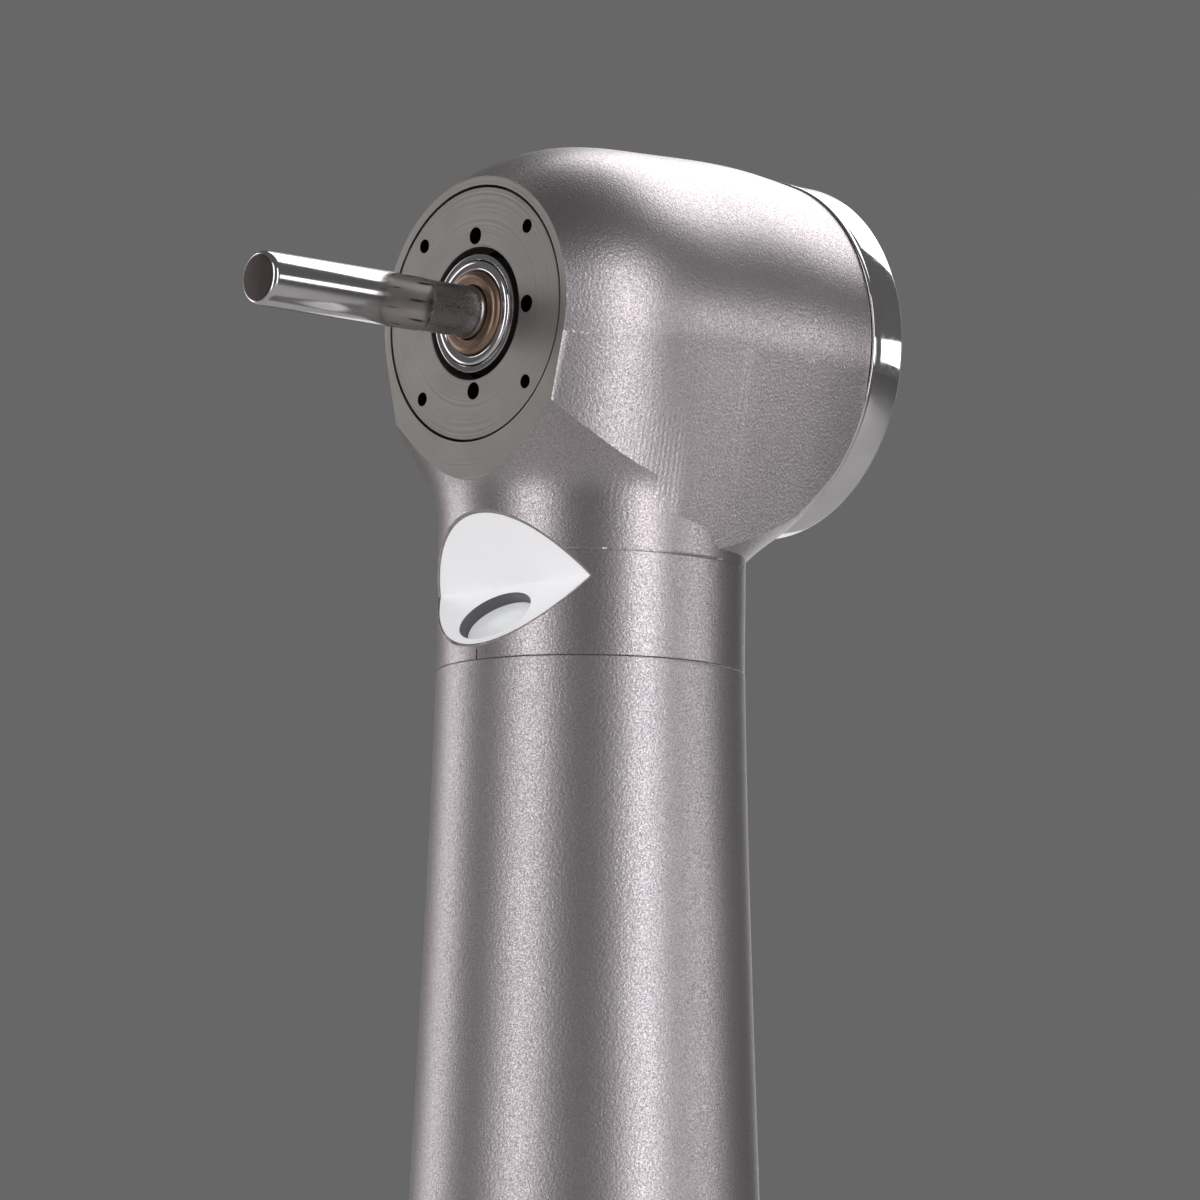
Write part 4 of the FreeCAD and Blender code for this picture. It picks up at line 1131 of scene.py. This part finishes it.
        def front(place: Vector) -> tuple[float, Vector]:
            """Measures a place against the front flare, but for its widened ends."""
            plain = place.y < 0.01 and self.share_at(place) == 0.0
            return curves[0](place) if plain else (1.0, Vector((0, 0, 1)))

        def back(place: Vector) -> tuple[float, Vector]:
            """Measures a place against the back flare."""
            return curves[1](place) if place.y > -0.01 else (1.0, Vector((0, 0, 1)))

        barrel = turned_surface(list(zip(*self.line)), Axis.TOOL)
        return [barrel, turned_surface(neck, Axis.NECK), front, back, side, flat_surface(self.face_at)]


# ------------------------------------------------------------------ front face
@dataclass
class SprayFace:
    """Round insert with the spray outlets."""

    face_at: float = -4.78
    back: float = -3.88
    outer: float = 3.77
    bore: float = 1.985
    edge: float = 0.05
    outlets: tuple[tuple[float, float, float], ...] = ((2.33, 0.26, 0.0), (3.275, 0.21, 45.0))
    outlet_count: int = 4
    outlet_depth: float = 0.06
    countersink: float = 0.035

    def disc(self) -> Mesh:
        """Turns the insert and drills its outlets.

        Returns:
            The seated insert.
        """
        outline = [(self.bore, self.back), (self.bore, self.face_at), (self.outer, self.face_at),
                   (self.outer, self.back)]
        disc = turned("spray_insert", rounded(outline, self.edge, ends=True), Axis.TOOL, 192, closed=True)
        for pitch, radius, first in self.outlets:
            for index in range(self.outlet_count):
                angle = math.radians(first) + FULL_TURN * index / self.outlet_count
                way = Vector((math.cos(angle) * pitch, 0, -math.sin(angle) * pitch))
                start, end = way + Vector((0, self.face_at - 0.5, 0)), way + Vector((0, self.back - 0.12, 0))
                combined(disc, cylinder("outlet", radius, start, end, 40), Join.CUT)
        tidy_mesh(disc)
        eased(disc, self.countersink, 50.0)
        dressed(disc, FACE, BORE_PAINTED_SHADE)
        # the outlets' inner walls get the painted shade
        painted(disc, 1, self.in_outlet)
        seated(disc, HEAD_SEAT, "handle", "turned_metal", ["spray_disc"])
        return trued(disc, HEAD_SEAT, [flat_surface(self.face_at)])

    def in_outlet(self, face: bpy.types.MeshPolygon) -> bool:
        """Tells whether a face lies inside one of the outlets."""
        reach = Vector((face.center.x, face.center.z)).length
        between = self.bore + 0.03 < reach < self.outer - 0.03
        return between and self.face_at + self.outlet_depth < face.center.y < self.back - 0.06

    def build(self) -> list[Mesh]:
        """Builds the front insert.

        Returns:
            The seated pieces.
        """
        return [self.disc()]


@dataclass
class RotorNose:
    """Ends of the turning parts that show in the front opening."""

    shaft: float = 1.5875
    nose_at: float = -4.88
    end: float = 5.60
    chuck: float = 1.25
    chuck_nose: float = -5.02
    chuck_end: float = 3.20
    tool: float = 0.80
    ring: float = 1.77
    ring_span: Point = (-4.80, -3.50)
    slit: float = 0.20
    slit_from: float = -3.28
    ring_edge: float = 0.04
    shaft_edge: float = 0.15

    def dust_ring(self) -> Mesh:
        """Turns the pale ring that fills the opening.

        Returns:
            The seated ring.
        """
        low, high = self.ring_span
        outline = [(self.shaft, high), (self.shaft, low), (self.ring, low), (self.ring, high)]
        outline = rounded(outline, self.ring_edge, ends=True)
        return ring_made("dust_ring_turned", outline, Axis.TOOL, 128, GROUND,
                         Place(HEAD_SEAT, "rotor", "hard_steel", "dust_ring"))

    def spindle(self) -> Mesh:
        """Turns the hollow shaft with its round polished nose.

        Returns:
            The seated shaft.
        """
        outline = [(self.chuck, self.end), (self.chuck, self.nose_at), (self.shaft - 0.02, self.nose_at),
                   (self.shaft - 0.02, self.nose_at + 0.5), (self.shaft, self.nose_at + 0.52),
                   (self.shaft, self.end)]
        outline = rounded(outline, self.shaft_edge, 5, ends=True)
        return ring_made("spindle_turned", outline, Axis.TOOL, 128, MIRROR,
                         Place(HEAD_SEAT, "rotor", "hard_steel", "spindle"))

    def collet(self) -> Mesh:
        """Turns the chuck and slits it from behind.

        Returns:
            The seated chuck.
        """
        bore = self.tool + 0.02
        outline = [(bore, self.chuck_end), (bore, self.chuck_nose), (self.chuck - 0.12, self.chuck_nose),
                   (self.chuck, self.chuck_nose + 0.14), (self.chuck, self.chuck_end)]
        chuck = turned("collet_turned", rounded(outline, 0.07, ends=True), Axis.TOOL, 96, closed=True)
        for index in range(3):
            slit = block("slit", (0, self.slit_from, -self.slit / 2), (2, self.chuck_end + 1, self.slit / 2))
            moved(slit, Matrix.Rotation(FULL_TURN * index / 3, 4, "Y"))
            combined(chuck, slit, Join.CUT)
        tidy_mesh(chuck)
        dressed(chuck, BRONZE)
        return seated(chuck, HEAD_SEAT, "rotor", "chuck_bronze", ["chuck"])

    def build(self) -> list[Mesh]:
        """Builds the rings round the tool.

        Returns:
            The seated pieces.
        """
        return [self.dust_ring(), self.spindle(), self.collet()]


@dataclass
class ToolBlank:
    """Plain pin in the chuck: polished, round-edged, with a satin relieved stretch."""

    radius: float = 0.80
    tip: float = -13.05
    length: float = 16.0
    edge: float = 0.18
    relief: Point = (6.05, 7.90)
    waist: Point = (0.775, 0.765)

    def build(self) -> Mesh:
        """Turns and dresses the pin.

        Returns:
            The seated pin.
        """
        start, end = self.relief
        ends, middle = self.waist
        tail = self.tip + self.length
        outline = [(0, self.tip), (self.radius, self.tip), (self.radius, self.tip + start),
                   (ends, self.tip + start + 0.05), (middle, self.tip + (start + end) / 2),
                   (ends, self.tip + end), (self.radius, self.tip + end + 0.05),
                   (self.radius, tail), (0, tail)]
        path = rounded(outline[:3], self.edge, 5)[:-1] + rounded(outline[2:], 0.06)
        pin = turned("tool_blank", path, Axis.TOOL, 96)
        dressed(pin, GROUND, RELIEVED, CUT_END)
        painted(pin, 1, lambda face: self.tip + start < face.center.y < self.tip + end + 0.1)
        painted(pin, 2, lambda face: face.normal.y < -0.98 and face.center.y < self.tip + 0.05)
        return seated(pin, HEAD_SEAT, "tool", "hard_steel", ["bur_blank"])


# ------------------------------------------------------------------ back cap and button
@dataclass
class BackCap:
    """Buffed screw cap with its stop ring."""

    seam: float = 6.34
    radius: float = 5.44
    end: float = 7.62
    mouth: float = 5.04
    step: Point = (6.56, 4.50)
    ledge: tuple[float, float, float] = (5.82, 6.20, 2.30)
    thread: Point = (4.95, 3.28)
    seat: float = 3.45
    stop: Point = (7.32, 7.56)
    button: float = 4.70
    edge: float = 0.04

    def cap(self) -> Mesh:
        """Turns the cap with its bead, soft chamfer and band.

        Returns:
            The seated cap.
        """
        low, high, inner = self.ledge
        r, s = self.radius, self.seam
        bead = [(r - 0.10, s + 0.02), (r + 0.03, s + 0.02), (r + 0.03, s + 0.16), (r - 0.05, s + 0.24)]
        lip = [(r, s + 0.44), (r - 0.01, self.end), (self.mouth, self.end), (self.mouth, self.step[0])]
        band, rim = rounded(bead, 0.06, 4), rounded(lip, 0.07, 4)
        thread, start = self.thread
        outline = [(self.seat, start), (thread, start), (thread, s + 0.02),
                   *band, *rim, (self.step[1], self.step[0]), (self.step[1], high), (inner, high),
                   (inner, low),
                   (self.seat, low)]
        return ring_made("cap_turned", outline, Axis.TOOL, 256, MIRROR,
                         Place(HEAD_SEAT, "handle", "polished_metal", "back_cap"))

    def stop_ring(self) -> Mesh:
        """Turns the ring that keeps the button in.

        Returns:
            The seated ring.
        """
        low, high = self.stop
        outline = [(self.button + 0.05, low), (self.mouth - 0.01, low), (self.mouth - 0.01, high),
                   (self.button + 0.05, high)]
        return ring_made("stop_ring_turned", rounded(outline, self.edge, ends=True), Axis.TOOL, 160, MIRROR,
                         Place(HEAD_SEAT, "handle", "polished_metal", "stop_ring"))

    def build(self) -> list[Mesh]:
        """Builds cap and stop ring.

        Returns:
            The seated pieces.
        """
        return [self.cap(), self.stop_ring()]


@dataclass
class PushButton:
    """Domed button that opens the chuck."""

    radius: float = 4.70
    flange: tuple[float, float, float] = (4.99, 7.09, 7.30)
    edge_at: float = 8.30
    top_at: float = 8.72
    wall: float = 0.42
    boss: Point = (1.50, 6.90)

    def build(self) -> Mesh:
        """Turns the button with its flange, hollow and boss.

        Returns:
            The seated button.
        """
        rise = self.top_at - self.edge_at
        dome = (self.radius ** 2 + rise ** 2) / (2 * rise)
        crown = []
        for index in range(1, 15):
            radius = self.radius * (1 - index / 14)
            crown.append((radius, self.top_at - dome + math.sqrt(dome ** 2 - radius ** 2)))
        outer, low, high = self.flange
        inside = self.radius - self.wall
        ceiling = self.edge_at - self.wall
        skirt = [(0, self.boss[1]), (self.boss[0], self.boss[1]), (self.boss[0], ceiling), (inside, ceiling),
                 (inside, low), (outer, low), (outer, high), (self.radius, high)]
        edge = rounded([(self.radius, high), (self.radius, self.edge_at), crown[0]], 0.22, 5)
        button = turned("button_turned", [*skirt, *edge[1:-1], *crown], Axis.TOOL, 192)
        dressed(button, MIRROR)
        return seated(button, HEAD_SEAT, "button", "polished_metal", ["push_button"])


# ------------------------------------------------------------------ lamp
@dataclass
class Lamp:
    """White insert in the notch, its lens and the lit board behind."""

    room: LampRoom
    lens: float = 0.45
    board: Point = (-1.70, -1.45)

    def insert(self) -> Mesh:
        """Shapes the white insert.

        Returns:
            The seated insert.
        """
        insert = combined(self.room.envelope(0.004), self.room.notch(), Join.CUT)
        combined(insert, self.room.opening(-3.0, 1.0), Join.CUT)
        tidy_mesh(insert)
        eased(insert, 0.03)
        # the white finish carries a painted glow
        dressed(insert, WHITE, SHADED)
        # the opening's wall gets the painted shade
        painted(insert, 1, self.in_opening)
        return seated(insert, HEAD_SEAT, "handle", "white_insert", ["light_carrier"])

    def in_opening(self, face: bpy.types.MeshPolygon) -> bool:
        """Tells whether a face is part of the wall of the lamp's opening."""
        place = self.room.on_lower(self.room.along).inverted() @ face.center
        out = math.hypot(place.x / self.room.half[0], place.y / self.room.half[1])
        return abs(out - 1) < 0.03 and place.z < -0.04

    def window(self) -> Mesh:
        """Shapes the oval lens with a slight crown.

        Returns:
            The seated lens.
        """
        sunk = self.room.sunk
        half = (self.room.half[0] - 0.01, self.room.half[1] - 0.01)
        lens = oval("lamp_lens", half, -sunk - self.lens, -sunk)
        eased(lens, 0.12, 40.0, 4)
        moved(lens, self.room.on_lower(self.room.along))
        # the lens finish carries a painted glow
        dressed(lens, LENS)
        return seated(lens, HEAD_SEAT, "handle", "clear_lens", ["led_lens"])

    def lit_board(self) -> Mesh:
        """Shapes the board with the light chip on it.

        Returns:
            The seated board.
        """
        half = (self.room.half[0] - 0.06, self.room.half[1] - 0.06)
        board = oval("lamp_board_cut", half, *self.board)
        chip = block("chip", (-0.5, -0.45, self.board[1] - 0.05), (0.5, 0.45, self.board[1] + 0.3))
        combined(board, chip, Join.ADD)
        moved(board, self.room.on_lower(self.room.along))
        dressed(board, BOARD)
        return seated(board, HEAD_SEAT, "handle", "board", ["led_board"])

    def build(self) -> list[Mesh]:
        """Builds the lamp.

        Returns:
            The seated pieces.
        """
        return [self.insert(), self.window(), self.lit_board()]


# ------------------------------------------------------------------ handle
@dataclass
class HandleSleeve:
    """Blasted sleeve that swells down the handle, bends, and carries the grip grooves."""

    tail_length: float = 88.0
    neck_rise: float = 38.0
    bend_radius: float = 60.0
    seam: float = -10.33
    start: float = 4.615
    swell: float = 3.10
    swell_length: float = 95.0
    power: float = 1.25
    wall: float = 0.66
    sleeve_end: float = 7.5
    grooves: int = 9
    groove_first: float = 46.0
    groove_step: float = 2.4
    groove_depth: float = 0.16
    groove_half: float = 0.265
    station: float = 1.2
    steps: int = 192

    def tangent(self) -> float:
        """Length of the bend's tangent."""
        return self.bend_radius * math.tan(LEAN / 2)

    def neck_run(self) -> float:
        """Straight length below the neck's seam."""
        return self.neck_rise + self.seam - self.tangent()

    def length(self) -> float:
        """Length of the sleeve's centre line."""
        return self.neck_run() + self.bend_radius * LEAN + self.tail_length - self.tangent() - self.sleeve_end

    def radius(self, place: float) -> float:
        """Outer radius at a distance from the seam."""
        return self.start + self.swell * math.sin(math.pi / 2 * place / self.swell_length) ** self.power

    def bent(self, corner: Vector) -> Vector:
        """Takes a corner of the straight sleeve to its place on the bent one.

        Args:
            corner: Place on the straight sleeve, with its height as minus the distance from the seam.

        Returns:
            Place in millimetres in the frame.
        """
        place, run, arc = -corner.z, self.neck_run(), self.bend_radius * LEAN
        turn = min(max(place - run, 0.0), arc) / self.bend_radius
        way = Vector((0, -math.sin(turn), math.cos(turn)))
        back = Vector((0, math.cos(turn), math.sin(turn)))
        top = HEAD / MM + Vector((0, 0, self.seam - run))
        centre = top + Vector((0, self.bend_radius, 0)) - back * self.bend_radius
        beyond = run - place if place < run else min(run + arc - place, 0.0)
        return centre + way * beyond + Vector((corner.x, 0, 0)) + back * corner.y

    def outline(self) -> list[Point]:
        """Outline of the straight sleeve's wall, outside down and inside up."""
        total = self.length()
        places = list(np.arange(0.15, total - 0.1, self.station)) + [total - 0.05]
        outer = {round(float(place), 4): self.radius(place) for place in places}
        for index in range(self.grooves):
            middle = total + self.sleeve_end - (self.groove_first - index * self.groove_step)
            near = [place for place in outer if abs(place - middle) < self.groove_half * 1.6]
            for place in near:
                del outer[place]
            for part, depth in ((-1.3, 0.0), (-1.0, 0.02), (-0.7, 0.5), (-0.35, 0.87), (0.0, 1.0)):
                for side in {part, -part}:
                    place = middle + side * self.groove_half
                    outer[round(place, 4)] = self.radius(place) - depth * self.groove_depth
        outside = [(outer[place], -place) for place in sorted(outer)]
        top = rounded([(self.start - self.wall, 0), (self.start, 0), outside[0]], 0.05)[:-1]
        places = np.arange(0.0, total, 4.0)[1:]
        inside = [(self.radius(place) - self.wall, -float(place)) for place in reversed(places)]
        foot = [(self.radius(total) - 0.04, -total), (self.radius(total) - self.wall, -total)]
        return top + outside + foot + inside

    def build(self) -> Mesh:
        """Turns the sleeve straight and bends it.

        Returns:
            The seated sleeve.
        """
        sleeve = turned("sleeve_bent", self.outline(), Axis.NECK, self.steps, closed=True)
        reshaped(sleeve, self.bent)
        dressed(sleeve, SLEEVE)
        return seated(sleeve, WORLD_SEAT, "handle", "blasted_metal", ["handle_sleeve"])


@dataclass
class TailEnd:
    """Threaded hose end with its four ports, and the buffed collar above."""

    thread_radius: float = 5.55
    thread_depth: float = 0.30
    pitch: float = 0.75
    ring: Point = (5.0, 7.5)
    ring_radius: float = 7.55
    plug_radius: float = 6.85
    plug_top: float = 15.0
    port_depth: float = 6.0
    port_step: float = 0.18
    land: float = 0.35
    collar_edge: float = 0.12
    ports: tuple[str, ...] = ("drive_air_port", "exhaust_port", "water_port", "chip_air_port")

    def threaded(self, corner: Vector) -> Vector:
        """Cuts the thread: a corner sinks by its place along the winding."""
        radius = math.hypot(corner.x, corner.y)
        if radius < self.thread_radius - 0.01 or not 0.4 < corner.z < self.ring[0] - 0.35:
            return corner
        turn = math.atan2(corner.y, corner.x) / FULL_TURN
        phase = (corner.z / self.pitch - turn) % 1.0
        fade = min((corner.z - 0.4) / 0.4, (self.ring[0] - 0.35 - corner.z) / 0.4, 1.0)
        sink = self.thread_depth * fade * min(1.0, max(0.0, 1.25 - abs(2 * phase - 1) * 1.6))
        return Vector((corner.x * (1 - sink / radius), corner.y * (1 - sink / radius), corner.z))

    def plug(self) -> Mesh:
        """Turns the connector, cuts its thread and drills its ports.

        Returns:
            The seated connector.
        """
        rows = [(self.thread_radius, z) for z in np.arange(0.35, self.ring[0] - 0.02, self.pitch / 10)]
        outline = [(0, 0), (self.thread_radius - 0.35, 0), *[(float(r), float(z)) for r, z in rows],
                   (self.thread_radius, self.ring[0]), (self.thread_radius + self.land, self.ring[0]),
                   (self.thread_radius + self.land, self.ring[1]),
                   (self.plug_radius, self.ring[1]), (self.plug_radius, self.plug_top), (0, self.plug_top)]
        plug = turned("connector_turned", outline, Axis.NECK, 144)
        reshaped(plug, self.threaded)
        back = Matrix.Rotation(-LEAN, 4, "X")
        for name in self.ports:
            port = mount(name)
            place = back @ (Vector(port["pos_m"]) / MM)
            radius = port["dims"]["r_mm"]
            foot = Vector((place.x, place.y, 0))
            up = Vector((0, 0, 1))
            cuts = [
                cylinder("port", radius, foot - up, foot + up * self.port_depth, 48),
                cylinder("passage", radius - self.port_step, foot - up, foot + up * (self.plug_top + 1), 48),
                cylinder("mouth", radius + 0.22, foot - up * 0.06, foot + up * 0.18, 48, radius - 0.02),
            ]
            for cut in cuts:
                combined(plug, cut, Join.CUT)
        dressed(plug, FACE)
        return seated(plug, TAIL_SEAT, "handle", "turned_metal", ["tail_body"])

    def collar(self) -> Mesh:
        """Turns the collar.

        Returns:
            The seated collar.
        """
        low, high = self.ring
        bore = self.thread_radius + self.land
        outline = [(bore, high), (bore, low), (self.ring_radius - 0.15, low),
                   (self.ring_radius, low + 0.3), (self.ring_radius, high - 0.04),
                   (self.ring_radius - 0.06, high)]
        outline = rounded(outline, self.collar_edge, ends=True)
        return ring_made("collar_turned", outline, Axis.NECK, 192, MIRROR,
                         Place(TAIL_SEAT, "handle", "polished_metal", "tail_ring"))

    def build(self) -> list[Mesh]:
        """Builds the hose end.

        Returns:
            The seated pieces.
        """
        return [self.plug(), self.collar()]


class InnerWorks:
    """Frame nodes that stay as they are: bearings, seals, tubes and the generator."""

    def build(self) -> None:
        """Dresses each node in its finish."""
        for finish, nodes in INNER_FINISHES.items():
            for name in nodes:
                dressed(frame["nodes"][name], finish)
                LOG.info("%s: %s", name, finish.name)


# ------------------------------------------------------------------ studio
@dataclass(frozen=True)
class Softbox:
    """One soft light: where it stands from the head, its size and its power."""

    name: str
    way: tuple[float, float, float]
    distance: float
    size: Point
    power: float
    tint: str = "#ffffff"

    def build(self) -> None:
        """Adds the light, facing the head."""
        light = bpy.data.lights.new(self.name, "AREA")
        light.shape = "RECTANGLE"
        light.size, light.size_y = (side * MM for side in self.size)
        light.energy = self.power
        light.color = linear(self.tint)[:3]
        lamp = bpy.data.objects.new(self.name, light)
        bpy.context.scene.collection.objects.link(lamp)
        way = Vector(self.way).normalized()
        lamp.location = HEAD + way * self.distance * MM
        lamp.rotation_euler = way.to_track_quat("Z", "Y").to_euler()


@dataclass
class Studio:
    """Pale floor, grey surround, soft lights and the camera."""

    azimuth: float = 48.17
    pitch: float = -7.86
    roll: float = 0.667
    distance: float = 220.0
    aim: Point = (0.258, -8.086)
    lens: float = 220.96
    floor_size: float = 1.6
    surround: str = "#676767"
    lights: tuple[Softbox, ...] = field(default_factory=lambda: (
        Softbox("top_softbox", (-0.14, 0.66, 0.74), 260, (240, 150), 0.36),
        Softbox("front_softbox", (0.05, -1.0, 0.10), 300, (110, 320), 0.30),
        Softbox("right_softbox", (1.0, -0.03, 0.10), 300, (80, 320), 0.36),
        Softbox("back_softbox", (0.75, 0.66, 0.07), 300, (150, 60), 0.08),
        Softbox("left_softbox", (-1.0, -0.35, 0.15), 300, (120, 320), 0.25),
        Softbox("rear_softbox", (-0.7, 0.9, 0.1), 320, (140, 300), 0.12),
    ))

    def world(self) -> None:
        """Sets the even grey surround."""
        world = bpy.data.worlds.new("grey_surround")
        world.use_nodes = True
        background = world.node_tree.nodes["Background"]
        background.inputs["Color"].default_value = linear(self.surround)
        background.inputs["Strength"].default_value = 1.0
        bpy.context.scene.world = world

    def floor(self) -> None:
        """Lays the pale floor under the tail."""
        deselect()
        low = CAD_BOX[0]
        bpy.ops.mesh.primitive_plane_add(size=self.floor_size, location=(0, 0, low.z - 0.5 * MM))
        floor = named("floor")
        bpy.ops.object.transform_apply(location=True, rotation=True, scale=True)
        material = bpy.data.materials.new("pale_paper")
        material.use_nodes = True
        shader = material.node_tree.nodes["Principled BSDF"]
        shader.inputs["Base Color"].default_value = linear("#d9d8d6")
        shader.inputs["Roughness"].default_value = 0.8
        floor.data.materials.append(material)

    def camera(self) -> None:
        """Sets the camera at its angle, with its small roll."""
        yaw, pitch, roll = (math.radians(a) for a in (self.azimuth, self.pitch, self.roll))
        back = Vector((math.sin(yaw) * math.cos(pitch), -math.cos(yaw) * math.cos(pitch), math.sin(pitch)))
        right = Vector((math.cos(yaw), math.sin(yaw), 0))
        up = back.cross(right)
        turned_right = right * math.cos(roll) + up * math.sin(roll)
        turned_up = up * math.cos(roll) - right * math.sin(roll)
        data = bpy.data.cameras.new("camera")
        data.lens = self.lens
        data.sensor_width = 36.0
        data.clip_start = 0.01
        data.clip_end = 10.0
        camera = bpy.data.objects.new("camera", data)
        bpy.context.scene.collection.objects.link(camera)
        target = HEAD + (Vector((0, 0, self.aim[1])) + turned_right * self.aim[0]) * MM
        matrix = Matrix((turned_right, turned_up, back)).transposed().to_4x4()
        matrix.translation = target + back * self.distance * MM
        camera.matrix_world = matrix
        bpy.context.scene.camera = camera

    def build(self) -> None:
        """Builds the studio."""
        self.camera()
        self.world()
        self.floor()
        for light in self.lights:
            light.build()
        bpy.context.scene.view_settings.view_transform = "Standard"


def main() -> None:
    """Builds the handpiece, then its studio."""
    logging.basicConfig(level=logging.INFO, format="%(message)s")
    assemblies = (Studio(), HeadShell(LAMP_ROOM), SprayFace(), RotorNose(), ToolBlank(), BackCap(),
                  PushButton(), Lamp(LAMP_ROOM), HandleSleeve(), TailEnd(), InnerWorks())
    for assembly in assemblies:
        assembly.build()
        LOG.info("built %s", type(assembly).__name__)


if __name__ == "__main__":
    main()
